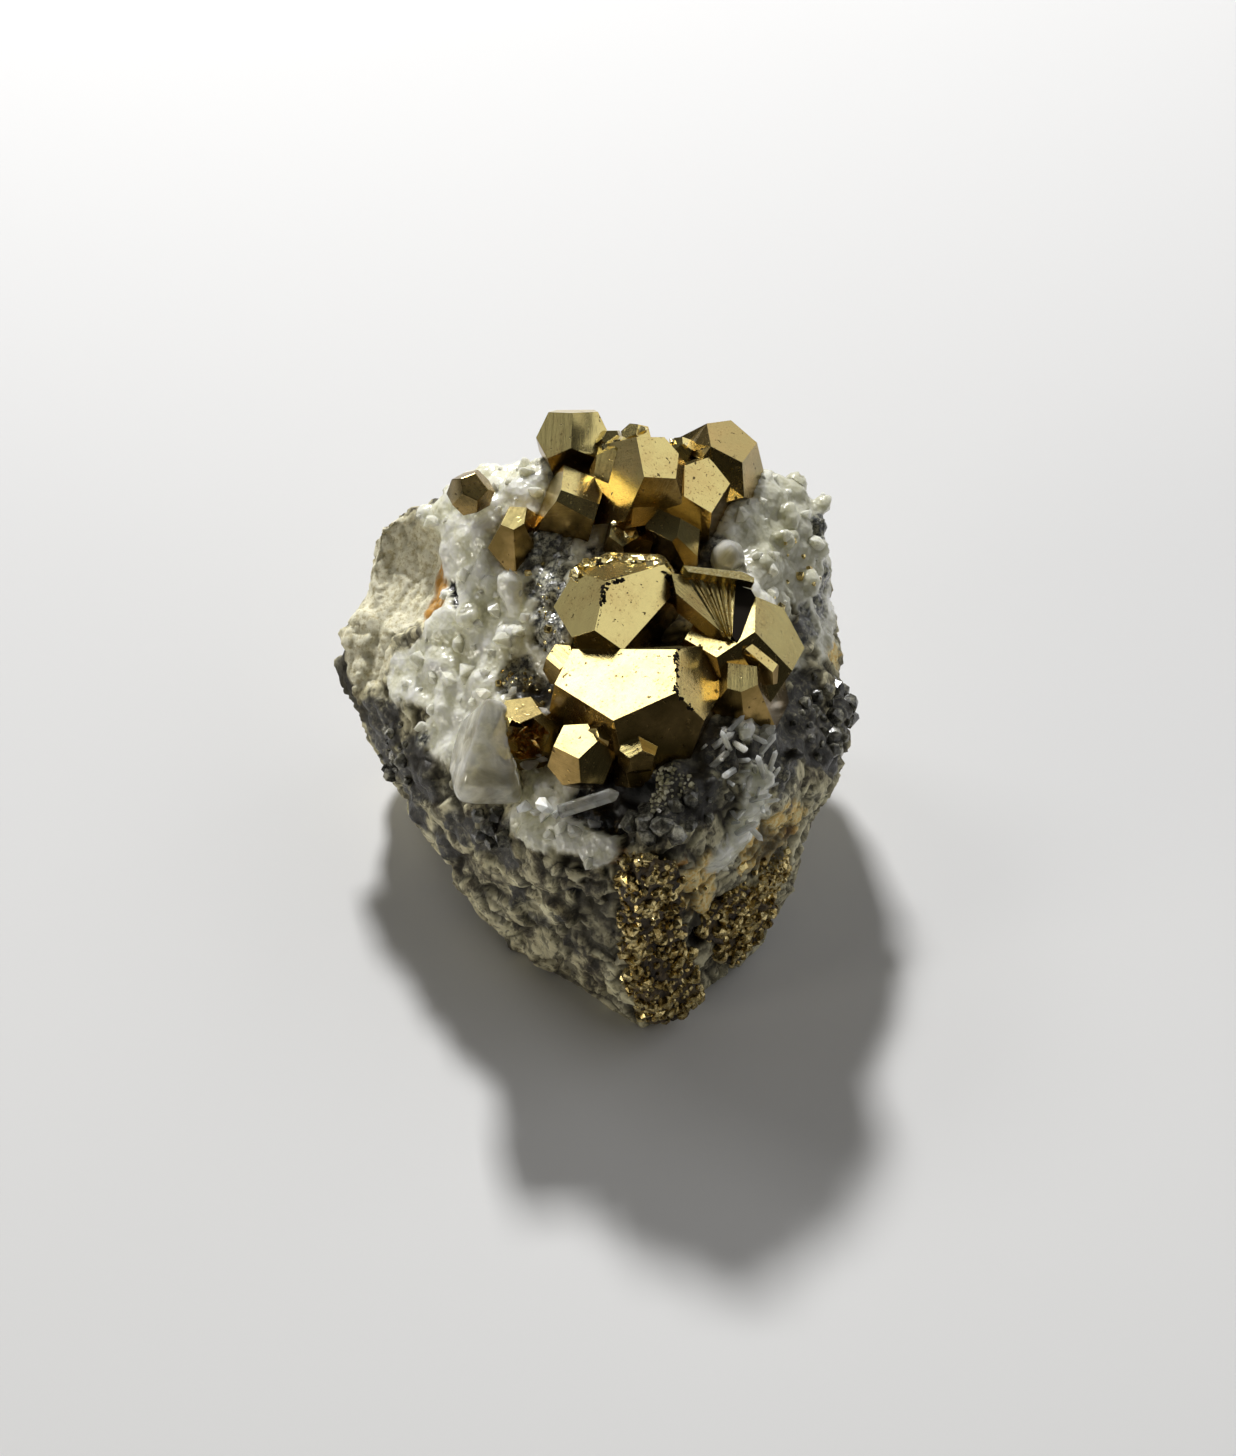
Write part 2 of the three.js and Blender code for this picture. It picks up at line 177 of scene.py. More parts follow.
# Each panel: its bearing from straight behind towards the right and its angle above the floor,
# then distance, width and height in metres, and power
PANELS = {
    "light_behind": (-8, 44, 0.9, 0.1, 0.1, 8.4),
    "light_white": (-43, 46, 0.8, 0.27, 0.19, 0.66),
    "light_right": (89, 38, 0.8, 0.92, 0.5, 1.2),
    "light_low_right": (40, 12, 0.9, 0.72, 0.5, 1.1),
    "light_left": (-73, 27, 0.8, 0.36, 0.36, 0.146),
    "light_above": (56, 67, 0.8, 0.24, 0.22, 0.1),
    "light_front": (-112, 7, 0.9, 0.23, 0.14, 1.75),
}
PANEL_TINTS = {"light_front": (1, 0.95, 0.84)}
for name, (bearing, height, distance, wide, tall, power) in PANELS.items():
    panel = bpy.data.lights.new(name, "AREA")
    panel.shape = "RECTANGLE"
    panel.size = wide
    panel.size_y = tall
    panel.energy = power
    panel.color = PANEL_TINTS.get(name, (1, 1, 1))
    bearing, height = math.radians(bearing), math.radians(height)
    flat = math.cos(height)
    towards = Vector((math.sin(bearing) * flat, math.cos(bearing) * flat, math.sin(height)))
    lamp = link(bpy.data.objects.new(name, panel))
    turn = towards.to_track_quat("Z", "Y").to_matrix().to_4x4()
    lamp.matrix_world = Matrix.Translation(towards * distance) @ turn

ROOM_TINT = (1, 0.96, 0.86, 1)
ROOM_STRENGTH = 0.02
world = bpy.data.worlds.new("studio")
world.use_nodes = True
room = world.node_tree.nodes["Background"]
room.inputs["Color"].default_value = ROOM_TINT
room.inputs["Strength"].default_value = ROOM_STRENGTH
bpy.context.scene.world = world
bpy.context.scene.view_settings.view_transform = "Standard"

FLOOR_HALF = 3
FLOOR_PALE = (0.67, 0.667, 0.664, 1)
# Painted light: the floor is paler towards the front, where the lamp behind lights it less
FLOOR_FRONT_PAINTED_LIGHT = (0.8, 0.797, 0.79, 1)
# Painted shade: far from the middle and in front, out of view, the floor turns near black, so that
# the crystal faces mirror dark surroundings there
FLOOR_FAR_PAINTED_SHADE = (0.07, 0.07, 0.07, 1)
FLOOR_MIDDLE = (0, 0.05, 0)
FLOOR_ROUGHNESS = 0.75
PALER_FROM, PALER_TO = -0.08, 0.1
DARK_FROM, DARK_TO = 0.2, 0.29
DARK_FRONT_FROM, DARK_FRONT_TO = 0.13, 0.17
floor_mesh = bpy.data.meshes.new("floor")
corners = [(x * FLOOR_HALF, y * FLOOR_HALF, 0) for x, y in ((-1, -1), (1, -1), (1, 1), (-1, 1))]
floor_mesh.from_pydata(corners, [], [(0, 1, 2, 3)])
floor = link(bpy.data.objects.new("floor", floor_mesh))
paper = Finish("pale_floor")
between = {0: paper.place, 1: FLOOR_MIDDLE}
middle = paper.node("ShaderNodeVectorMath", {"operation": "DISTANCE"}, between, "Value")
front = paper.node("ShaderNodeSeparateXYZ", {}, {0: paper.place}, "Y") * -1
# Painted light: paler towards the front
tone = paper.blend(paper.band(front, PALER_FROM, PALER_TO), FLOOR_PALE, FLOOR_FRONT_PAINTED_LIGHT)
# Painted shade: near black far from the middle and in front
painted_dark = paper.band(middle, DARK_FROM, DARK_TO) + paper.band(front, DARK_FRONT_FROM, DARK_FRONT_TO)
tone = paper.blend(painted_dark, tone, FLOOR_FAR_PAINTED_SHADE)
paper_surface = paper.shader({"Base Color": tone, "Roughness": FLOOR_ROUGHNESS})
floor_mesh.materials.append(paper.done(paper_surface))

# The pyrite crystals: bright pale gold iron sulphide, opaque and metallic, with faces that are
# flat but finely grooved. Each copy has its facets joined, narrow worn edges, and grooves that
# run along the longest edge of every facet.
# Facets that face downward are painted darker: painted shade.
EDGE_WEAR = 0.07
GAP_REACH = 0.45
SOCKET_BITE = 0.12
SAME_POINT = 0.003
FLAT_ANGLE = math.radians(0.8)
EDGE_ANGLE = math.radians(3)
# Painted shade: facets that face up less than the first number take the shaded tone, those above
# the second the lit tone
SHADED_BELOW, LIT_ABOVE = 0.3, 0.62
FACET_VARIETY = 0.12
GOLDEN_SHARE = 0.618


def merged_copy(node):
    shape = bmesh.new()
    shape.from_mesh(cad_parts[node].data)
    bmesh.ops.remove_doubles(shape, verts=shape.verts, dist=SAME_POINT * MM)
    return shape


def surface_of(node):
    shape = merged_copy(node)
    tree = BVHTree.FromBMesh(shape)
    shape.free()
    return tree


def pressed(points, surfaces, reach, bite):
    """Moves points that are near a surface just into it, so that no gap shows where pieces meet."""
    moved = points.copy()
    nearness = np.full(len(points), reach)
    for index, point in enumerate(points):
        place = Vector(point) * MM
        for surface in surfaces:
            hit, outward, _, apart = surface.find_nearest(place, reach * MM)
            if hit and apart / MM < nearness[index]:
                nearness[index] = apart / MM
                moved[index] = (hit - outward * bite * MM) / MM
    return moved, nearness


def facet_marks(shape):
    """Gives each facet its own number and its own coordinates along and across its grooves."""
    along = shape.faces.layers.float_vector.new("along")
    number = shape.faces.layers.int.new("number")
    for index, face in enumerate(shape.faces):
        edge = max(face.edges, key=lambda e: e.calc_length())
        face[along] = (edge.verts[0].co - edge.verts[1].co).normalized()
        face[number] = index
    return along, number


def mesh_of(shape, name, *materials):
    mesh = bpy.data.meshes.new(name)
    shape.to_mesh(mesh)
    shape.free()
    for material in materials:
        mesh.materials.append(material)
    return mesh


def settled(name, mesh, node=None):
    """Makes a finished piece of a mesh: it rides with the rock and may stand for a solid."""
    piece = link(bpy.data.objects.new(name, mesh))
    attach(piece, "root")
    if node:
        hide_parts(node)
    return piece


def crystal_piece(name, node, material, wear=EDGE_WEAR, against=(), rounds=1):
    """A crystal with narrow worn edges; each facet knows its grooves and its painted shade."""
    shape = merged_copy(node)
    if against:
        points = np.array([v.co for v in shape.verts]) / MM
        moved = pressed(points, [surface_of(n) for n in against], GAP_REACH, SOCKET_BITE)[0]
        for vertex, place in zip(shape.verts, moved):
            vertex.co = Vector(place) * MM
    bmesh.ops.dissolve_limit(shape, angle_limit=FLAT_ANGLE, verts=shape.verts, edges=shape.edges)
    along, number = facet_marks(shape)
    sharp = [e for e in shape.edges if e.is_manifold and e.calc_face_angle() > EDGE_ANGLE]
    bmesh.ops.bevel(shape, geom=sharp, offset=wear * MM, segments=rounds, profile=0.5,
                     affect="EDGES", clamp_overlap=True)
    facet = shape.loops.layers.float_vector.new("facet")
    for face in shape.faces:
        grooves = Vector(face[along])
        across = face.normal.cross(grooves)
        # Painted shade: the lower a facet faces, the darker its tone, plus a little random tone per
        # facet
        tone = 1 - smooth(face.normal.z, SHADED_BELOW, LIT_ABOVE)
        tone += FACET_VARIETY * ((face[number] * GOLDEN_SHARE) % 1)
        for corner in face.loops:
            corner[facet] = (corner.vert.co.dot(grooves), corner.vert.co.dot(across), tone)
    shape.faces.layers.float_vector.remove(along)
    shape.faces.layers.int.remove(shape.faces.layers.int["number"])
    bmesh.ops.triangulate(shape, faces=shape.faces)
    return settled(name, mesh_of(shape, name, material), node)


def places_along(path, count, spread, seed):
    """Scattered places along a line of corners, in their order along it."""
    chance = np.random.default_rng(seed)
    corners = np.array(path, dtype=float)
    steps = np.concatenate([[0], np.cumsum(np.linalg.norm(np.diff(corners, axis=0), axis=1))])
    at = np.sort(chance.uniform(0, steps[-1], count))
    points = np.stack([np.interp(at, steps, corners[:, axis]) for axis in range(3)], axis=1)
    return points + chance.normal(size=points.shape) * spread


CHIP_CORNERS = 14


def chips(name, places, sizes, shape, material, seed, surface=None, sink=0.0):
    """Broken angular chips, as long, wide and thick as shape says; they lie flat on a surface."""
    chance = np.random.default_rng(seed)
    body = bmesh.new()
    for place in places:
        spot, outward = Vector(place), Vector(chance.normal(size=3)).normalized()
        if surface:
            hit, outward, _, _ = surface.find_nearest(spot * MM)
            spot = hit / MM - outward * sink
        spin = Matrix.Rotation(chance.uniform(0, 6.28), 3, "Z")
        turn = outward.to_track_quat("Z", "Y").to_matrix() @ spin
        size = chance.uniform(*sizes) / 2
        corners = []
        for _ in range(CHIP_CORNERS):
            corner = Vector(chance.uniform(-1, 1, 3)).normalized() * chance.uniform(0.85, 1.1)
            corner = Vector([c * s * size for c, s in zip(corner, shape)])
            corners.append(body.verts.new((spot + turn @ corner) * MM))
        made = bmesh.ops.convex_hull(body, input=corners)
        loose = [v for v in made["geom_interior"] if isinstance(v, bmesh.types.BMVert)]
        bmesh.ops.delete(body, geom=loose, context="VERTS")
    bmesh.ops.recalc_face_normals(body, faces=body.faces)
    return settled(name, mesh_of(body, name, material))


PYRITE_TARNISH = (0.62, 0.42, 0.16, 1)
PYRITE_SPECK = (0.3, 0.2, 0.06, 1)
PYRITE_PIT = (0.07, 0.045, 0.02, 1)


def pyrite_finish(name, lit, painted_shade, rough):
    finish = Finish(name)
    facet = finish.attribute("facet", "Vector")
    shade_and_variety = finish.node("ShaderNodeSeparateXYZ", {}, {0: facet}, "Z")
    stretch = {0: facet, 1: (0.12, 1, 0.02)}
    stretched = finish.node("ShaderNodeVectorMath", {"operation": "MULTIPLY"}, stretch)
    grooves = finish.grain(0.9, 5, 0.6, stretched)
    steps = finish.cells(4, "SMOOTH_F1", stretched)
    cloud = finish.grain(6, 3)
    fine = finish.grain(0.5, 6, 0.7)
    pits = finish.band(finish.grain(0.9, 2, 0.5), 0.67, 0.73)
    specks = finish.band(finish.grain(0.36, 2, 0.5), 0.6, 0.68) * finish.band(cloud, 0.4, 0.56)
    tarnish = finish.band(cloud + fine * 0.25, 0.5, 0.85)
    # Painted shade: facets that face downward take the shaded tone
    tone = finish.blend(shade_and_variety, lit, painted_shade)
    tone = finish.blend(tarnish * 0.55, tone, PYRITE_TARNISH)
    tone = finish.blend(specks * 0.75, tone, PYRITE_SPECK)
    tone = finish.blend(pits * 0.8, tone, PYRITE_PIT)
    surface = finish.shader({
        "Base Color": tone,
        "Metallic": 1.0,
        "Roughness": rough + fine * 0.12 + pits * 0.3,
        "Normal": finish.bump(grooves + steps * 0.6 + cloud * 0.8 - pits * 0.5, 0.05, 0.6),
    })
    return finish.done(surface)


# The lit tone for upward facets and the painted shade for downward ones
PYRITE_LIT = (0.88, 0.74, 0.31, 1)
PYRITE_PAINTED_SHADE = (0.2, 0.135, 0.042, 1)
pyrite = pyrite_finish("pyrite_gold", PYRITE_LIT, PYRITE_PAINTED_SHADE, 0.17)
crystal_piece("front_crystals", "pyrite_front_cluster", pyrite)
crystal_piece("rear_crystals", "pyrite_rear_cluster", pyrite)
CLUSTERS = ("pyrite_front_cluster", "pyrite_rear_cluster")
# Tarnished and dark copies, each with a lit tone and a painted-shade tone
FAR_LIT, FAR_PAINTED_SHADE = (0.5, 0.39, 0.15, 1), (0.32, 0.25, 0.09, 1)
tarnished = pyrite_finish("pyrite_tarnished", FAR_LIT, FAR_PAINTED_SHADE, 0.2)
crystal_piece("far_crystal", "pyrite_far_crystal", tarnished, against=CLUSTERS)
LEFT_LIT, LEFT_PAINTED_SHADE = (0.26, 0.2, 0.07, 1), (0.12, 0.09, 0.035, 1)
dark_pyrite = pyrite_finish("pyrite_dark", LEFT_LIT, LEFT_PAINTED_SHADE, 0.22)
crystal_piece("left_crystal", "pyrite_left_crystal", dark_pyrite)
crystal_piece("etched_crystal", "pyrite_etched_crystal", pyrite, against=CLUSTERS)

# The broken edges of the large crystals: jagged fissures drawn as near-black chips of painted
# shade, a rough stepped rim of late growth on the upper crystal with painted shade in its gaps, the
# grooved side of the column beside a near-black plate of painted shade, small crystals and glints
# in the gaps, and orange-gold blades in the hollow of the etched one.
# A near-black finish for painted shade in fissures, cracks and gaps, and on the column's shaded
# side
crevice = Finish("crevice_painted_shade")
crevice_shade_black = crevice.done(crevice.shader({
    "Base Color": (0.014, 0.01, 0.006, 1), "Roughness": 0.8, "Specular IOR Level": 0.1,
}))
LATE_DEEP, LATE_PALE = (0.7, 0.55, 0.2, 1), (0.95, 0.83, 0.45, 1)
late = Finish("pyrite_late_growth")
late_tone = late.blend(late.band(late.grain(0.7, 4, 0.7), 0.35, 0.65), LATE_DEEP, LATE_PALE)
late_relief = late.bump(late.grain(0.4, 4, 0.7), 0.08, 0.6)
late_gold = late.done(late.shader({
    "Base Color": late_tone, "Metallic": 1.0, "Roughness": 0.16, "Normal": late_relief,
}))
ORANGE_DEEP, ORANGE_PALE = (0.62, 0.28, 0.04, 1), (1, 0.7, 0.24, 1)
orange = Finish("pyrite_orange")
orange_tone = orange.blend(orange.band(orange.grain(0.9, 3), 0.4, 0.6), ORANGE_DEEP, ORANGE_PALE)
orange_gold = orange.done(orange.shader({
    "Base Color": orange_tone, "Metallic": 0.9, "Roughness": 0.22,
}))
front_surface = surface_of("pyrite_front_cluster")

# The fissures, near-black chips of painted shade: how many chips each one has, and its corners
FISSURES = [
    (64, [
        (12.05, -8.2, 52.1), (11.85, -10.3, 51.8), (11.65, -13.4, 51.45), (11.5, -15.9, 51),
        (13.6, -16.6, 48.5),
    ]),
    (24, [(2.9, -0.3, 55.6), (2.7, -1.6, 55), (2.3, -3, 54.2)]),
    (24, [(3.1, -0.2, 55.7), (5.3, 0.8, 55.2)]),
    (24, [(11, 2.8, 53.6), (11.8, 2.2, 52.8), (11.9, 0.8, 51.9)]),
]
FISSURE_SEED = 70
fissure_places = np.concatenate([
    places_along(path, count, 0.16, FISSURE_SEED + index)
    for index, (count, path) in enumerate(FISSURES)
])
chips("dark_fissures", fissure_places, (0.3, 0.95), (1, 0.7, 0.3), crevice_shade_black, 71,
      surface=front_surface, sink=0.02)
# A fine crack drawn in near-black chips of painted shade
thin_crack = places_along([(2.3, -3, 54.2), (1.5, -5.7, 52.6)], 22, 0.03, 77)
chips("fine_crack", thin_crack, (0.2, 0.35), (1, 0.6, 0.3), crevice_shade_black, 78,
      surface=front_surface, sink=0.02)
RIM = [
    (-1.6, 3.4, 54), (0.4, 5.6, 54), (3, 6.8, 53.5), (6, 6.8, 53.5), (8.8, 5.6, 54),
    (10.6, 3.6, 54),
]
rim_places = places_along(RIM, 90, 0.6, 80)
chips("growth_rim", rim_places, (1.1, 3), (1, 0.6, 0.42), late_gold, 81,
      surface=front_surface, sink=-0.1)
# Near-black chips under the rim: painted shade in its gaps
rim_gaps = places_along(RIM, 26, 0.5, 82)
chips("growth_rim_gaps", rim_gaps, (0.5, 1.1), (1, 0.5, 0.5), crevice_shade_black, 83,
      surface=front_surface, sink=-0.25)


def plate(name, corners, thickness, material):
    """A flat closed plate; the corners of its top run anticlockwise seen from outside."""
    body = bmesh.new()
    outward = (corners[1] - corners[0]).cross(corners[2] - corners[1]).normalized()
    top = [body.verts.new(c * MM) for c in corners]
    foot = [body.verts.new((c - outward * thickness) * MM) for c in corners]
    body.faces.new(top)
    body.faces.new(foot[::-1])
    for i, j in zip(range(len(top)), [*range(1, len(top)), 0]):
        body.faces.new((top[i], foot[i], foot[j], top[j]))
    bmesh.ops.recalc_face_normals(body, faces=body.faces)
    bmesh.ops.triangulate(body, faces=body.faces)
    return settled(name, mesh_of(body, name, material))


# The grooved column: a corner of its slanting face, small steps across and down it, and outward
COLUMN_FROM = Vector((16.1, 2.1, 53.3))
COLUMN_ACROSS = Vector((0.133, 0.021, -0.029))
COLUMN_DOWN = Vector((-0.0068, -0.1497, -0.0372))
COLUMN_OUT = Vector((0.25, -0.24, 0.94))


def on_column(across, down, lift=0.0):
    return COLUMN_FROM + COLUMN_ACROSS * across + COLUMN_DOWN * down + COLUMN_OUT * lift


# Outlines on the face, in steps across and down it
SIDE_OUTLINE = [(27, 57), (30, 62), (41, 54), (51, 20), (46, 11), (31, 6)]
CAP_OUTLINE = [(-20, -1), (33, 7), (46, 10), (46, 5), (34, -1), (-25, -7)]
# The side is a near-black plate of painted shade; the cap is late growth
plate("column_side", [on_column(*spot, 0.22) for spot in SIDE_OUTLINE], 2.2, crevice_shade_black)
plate("column_cap", [on_column(*spot, 0.2) for spot in CAP_OUTLINE], 1.6, late_gold)

# The ridges fan out from the foot of the face to its head, and their heights repeat
RIDGE_COUNT = 9
RIDGE_LIFTS = (0.3, 0.12, 0.42, 0.16)
ridges = bmesh.new()
for step in range(RIDGE_COUNT):
    head, foot = -15 + step * 5.4, 19 + step * 0.9
    lift = RIDGE_LIFTS[step % len(RIDGE_LIFTS)]
    ring = []
    for across, down, wide in ((head, 1, 2.8), (foot, 57, 0.7)):
        for offset, rise in ((-wide, -0.15), (0.3 * wide, lift), (wide, -0.15)):
            ring.append(ridges.verts.new(on_column(across + offset, down, rise) * MM))
    a, b, c, d, e, f = ring
    for corners in ((a, b, c), (d, f, e), (a, d, e, b), (b, e, f, c), (c, f, d, a)):
        ridges.faces.new(corners).material_index = step % 2
bmesh.ops.recalc_face_normals(ridges, faces=ridges.faces)
bmesh.ops.triangulate(ridges, faces=ridges.faces)
settled("column_ridges", mesh_of(ridges, "column_ridges", late_gold, dark_pyrite))

# Glints in the gaps beside the cluster, small crystals among the rear ones, and the blades
sparkle_places = np.concatenate([
    places_along([(-5.6, 10, 47), (-5.2, 6, 45), (-5, 2, 43)], 22, 0.7, 86),
    places_along([(-11.4, -0.2, 38.6), (-9.2, -1, 38.6), (-6.2, -2.2, 38.5)], 18, 0.6, 87),
])
chips("gap_sparkles", sparkle_places, (0.35, 0.9), (1, 0.8, 0.5), late_gold, 88)
small_places = [
    (5.4, 23.2, 58.6), (3.4, 23.6, 57.4), (8.9, 25.6, 58.7), (14.6, 24.4, 56.6), (12.8, 24.6, 57.2),
    (4.3, 13.4, 53), (6.4, 11.6, 52.6), (16.4, 22.6, 54.6),
]
chips("rear_small_crystals", small_places, (1.3, 2.4), (1, 0.9, 0.8), late_gold, 89)
hollow_path = [(-10.2, -12, 39.6), (-8.4, -12.4, 38), (-6.8, -12, 39.2), (-8.6, -11.2, 40.4)]
hollow_places = places_along(hollow_path, 34, 0.7, 84)
chips("hollow_blades", hollow_places, (1.4, 2.8), (1, 0.28, 0.14), orange_gold, 85)

# The quartz crystals: a milky prism, a needle, a smoky blade, a bud, and loose slabs between them.
# Clear silica with white veils inside, grown on the deck beside the pyrite.
QUARTZ_BEND = 1.544  # refractive index
EVEN_SCATTER = (1, 1, 0.9)  # how far light of each colour goes inside, as shares
MILK_SHADE = (0.7, 0.66, 0.5, 1)
MILK_TINT = (0.7, 0.7, 0.63, 1)


def quartz_finish(name, clouding, tint, milk_tint=MILK_TINT):
    """Clear quartz mixed with milky quartz; clouding is the least share of the milky kind."""
    finish = Finish(name)
    veil = finish.band(finish.grain(4, 4, 0.6, distortion=1.2), 0.4, 0.7)
    wisps = finish.band(finish.cells(3.5), 0.35, 0.7)
    facet = finish.attribute("facet", "Vector")
    stretch = {0: facet, 1: (1, 0.15, 0.02)}
    stretched = finish.node("ShaderNodeVectorMath", {"operation": "MULTIPLY"}, stretch)
    relief = finish.bump(finish.grain(0.8, 4, 0.6, stretched) + finish.grain(2.5, 2), 0.08, 0.5)
    clear = finish.shader({
        "Base Color": tint, "Roughness": 0.06, "IOR": QUARTZ_BEND,
        "Transmission Weight": 1.0, "Normal": relief,
    })
    cloud = finish.band(finish.grain(3, 4, 0.55), 0.35, 0.65)
    milk = finish.shader({
        "Base Color": finish.blend(cloud, MILK_SHADE, milk_tint), "Roughness": 0.22,
        "IOR": QUARTZ_BEND, "Subsurface Weight": 0.7, "Subsurface Scale": 0.005,
        "Subsurface Radius": EVEN_SCATTER, "Normal": relief,
    })
    factor = clouding + veil * 0.3 + wisps * 0.12
    surface = finish.node("ShaderNodeMixShader", {}, {0: factor, 1: clear, 2: milk})
    inside = {"Color": (0.9, 0.88, 0.76, 1), "Density": 45}
    return finish.done(surface, finish.node("ShaderNodeVolumeAbsorption", {}, inside))


MILKY_CLEAR, MILKY_WHITE = (0.97, 0.97, 0.93, 1), (0.96, 0.93, 0.8, 1)
milky_quartz = quartz_finish("quartz_milky", 0.38, MILKY_CLEAR, MILKY_WHITE)
clear_quartz = quartz_finish("quartz_clear", 0.14, (0.96, 0.98, 0.98, 1))


def rebuilt(node, name, voxel):
    """A copy of a solid with small even faces, all about one voxel across."""
    rough = link(bpy.data.objects.new(name, mesh_of(merged_copy(node), name)))
    remesh = rough.modifiers.new("rebuild", "REMESH")
    remesh.mode = "VOXEL"
    remesh.voxel_size = voxel * MM
    graph = bpy.context.evaluated_depsgraph_get()
    fine = bpy.data.meshes.new_from_object(rough.evaluated_get(graph))
    bpy.data.objects.remove(rough)
    fine.name = name
    return fine


def vertex_arrays(mesh):
    count = len(mesh.vertices)
    points = np.empty(count * 3)
    mesh.vertices.foreach_get("co", points)
    normals = np.empty(count * 3)
    mesh.vertices.foreach_get("normal", normals)
    return points.reshape(-1, 3) / MM, normals.reshape(-1, 3)


FOOTWARD = Vector((0, -0.75, -0.66))
FOOT_SHARE = 0.62


def relaxed(shape, vertices, rounds):
    for _ in range(rounds):
        bmesh.ops.smooth_vert(shape, verts=vertices, factor=0.5,
                              use_axis_x=True, use_axis_y=True, use_axis_z=True)


def softened(name, node, material, voxel, rounds, against=(), foot_rounds=0):
    """A worn crystal: its edges are rounded off by smoothing a finely rebuilt copy."""
    mesh = rebuilt(node, name, voxel)
    shape = bmesh.new()
    shape.from_mesh(mesh)
    relaxed(shape, shape.verts, rounds)
    if foot_rounds:
        depths = sorted(v.co.dot(FOOTWARD) for v in shape.verts)
        foot_from = depths[int(FOOT_SHARE * len(depths))]
        foot = [v for v in shape.verts if v.co.dot(FOOTWARD) > foot_from]
        relaxed(shape, foot, foot_rounds)
    shape.to_mesh(mesh)
    shape.free()
    points = vertex_arrays(mesh)[0]
    if against:
        points = pressed(points, [surface_of(n) for n in against], GAP_REACH, SOCKET_BITE)[0]
        mesh.vertices.foreach_set("co", (points * MM).ravel())
    for polygon in mesh.polygons:
        polygon.use_smooth = True
    mesh.update()
    mesh.materials.clear()
    mesh.materials.append(material)
    return settled(name, mesh, node)


softened("prism_crystal", "quartz_prism", milky_quartz, 0.3, 3,
         against=("pyrite_etched_crystal",), foot_rounds=100)
crystal_piece("needle_crystal", "quartz_needle", clear_quartz, wear=0.12, rounds=2)
SMOKY_CLEAR, SMOKY_CLOUD = (0.7, 0.75, 0.72, 1), (0.2, 0.22, 0.2, 1)
smoky_quartz = quartz_finish("quartz_smoky_clear", 0.4, SMOKY_CLEAR, SMOKY_CLOUD)
crystal_piece("blade_crystal", "quartz_blade", smoky_quartz, wear=0.06)
softened("bud_crystal", "quartz_bud", milky_quartz, 0.3, 8)
slab_places = [(-10.2, -3.2, 38.6), (-5.7, -10.6, 42.4), (-6.6, -14.2, 37.3), (-8.2, -14.9, 37)]
chips("quartz_slabs", slab_places, (2.4, 3.2), (1, 0.6, 0.35), milky_quartz, 90)
chips("quartz_bar", [(3.8, -25.9, 36.9)], (2.6, 2.7), (1, 0.3, 0.3), milky_quartz, 93)
patch_path = [
    (-8.5, -18.5, 34.5), (-6, -20.5, 34), (-3.5, -22, 35), (-0.5, -24.5, 34), (2, -26, 33),
]
patch_places = places_along(patch_path, 9, 0.9, 94)
PALE_CLEAR, PALE_CLOUD = (0.96, 0.98, 0.97, 1), (0.86, 0.9, 0.83, 1)
pale_quartz = quartz_finish("quartz_pale", 0.6, PALE_CLEAR, PALE_CLOUD)
chips("blue_grey_patch", patch_places, (2, 3.8), (1, 0.9, 0.6), pale_quartz, 95)

# The matrix: one broken block of beige host rock, veined and topped with sugary grey quartz,
# with dark sulphide lumps, ochre weathering and an orange stain by its shell-shaped hollow.
# Its surface is rebuilt finely from the solid, pressed against the crystals, and roughened. Its
# colour has painted shade in recesses, cracks and holes, between crystals and down its right side.
ROCK_VOXEL = 0.42
SOCKET_REACH = 0.75
BLOCK_SEED = 4
noise.seed_set(BLOCK_SEED)

# Where each mineral, hollow or swelling shows, and where shade is painted: x, y, z and radius in
# millimetres
QUARTZ_SPOTS = [
    (-17, 21.7, 45, 8), (-14, 15, 45, 8), (-9, 3.5, 41, 8), (-16, 6.8, 38, 7), (-11, 10, 43, 8),
    (-6, 7, 45, 7), (-16, -0.3, 36, 6), (-22, 5, 34, 6), (0, 12, 46, 9), (-10, 26, 47, 8),
    (-24, 8, 31, 4), (28, 20, 44, 12), (31, 16, 38, 9), (25, 7, 44, 6), (20.5, -14.5, 42, 2),
    (21.5, -19.5, 38, 2.6),
    (27.5, 3, 38, 4), (-7, -19.9, 34, 5.5), (-3, -23, 35, 4.5), (0.5, -26, 33, 3), (20, 30, 44, 8),
    (8, 30, 46, 8), (20, -22, 33, 4), (18, -26, 29, 3.5), (-19, -3, 31, 5),
]
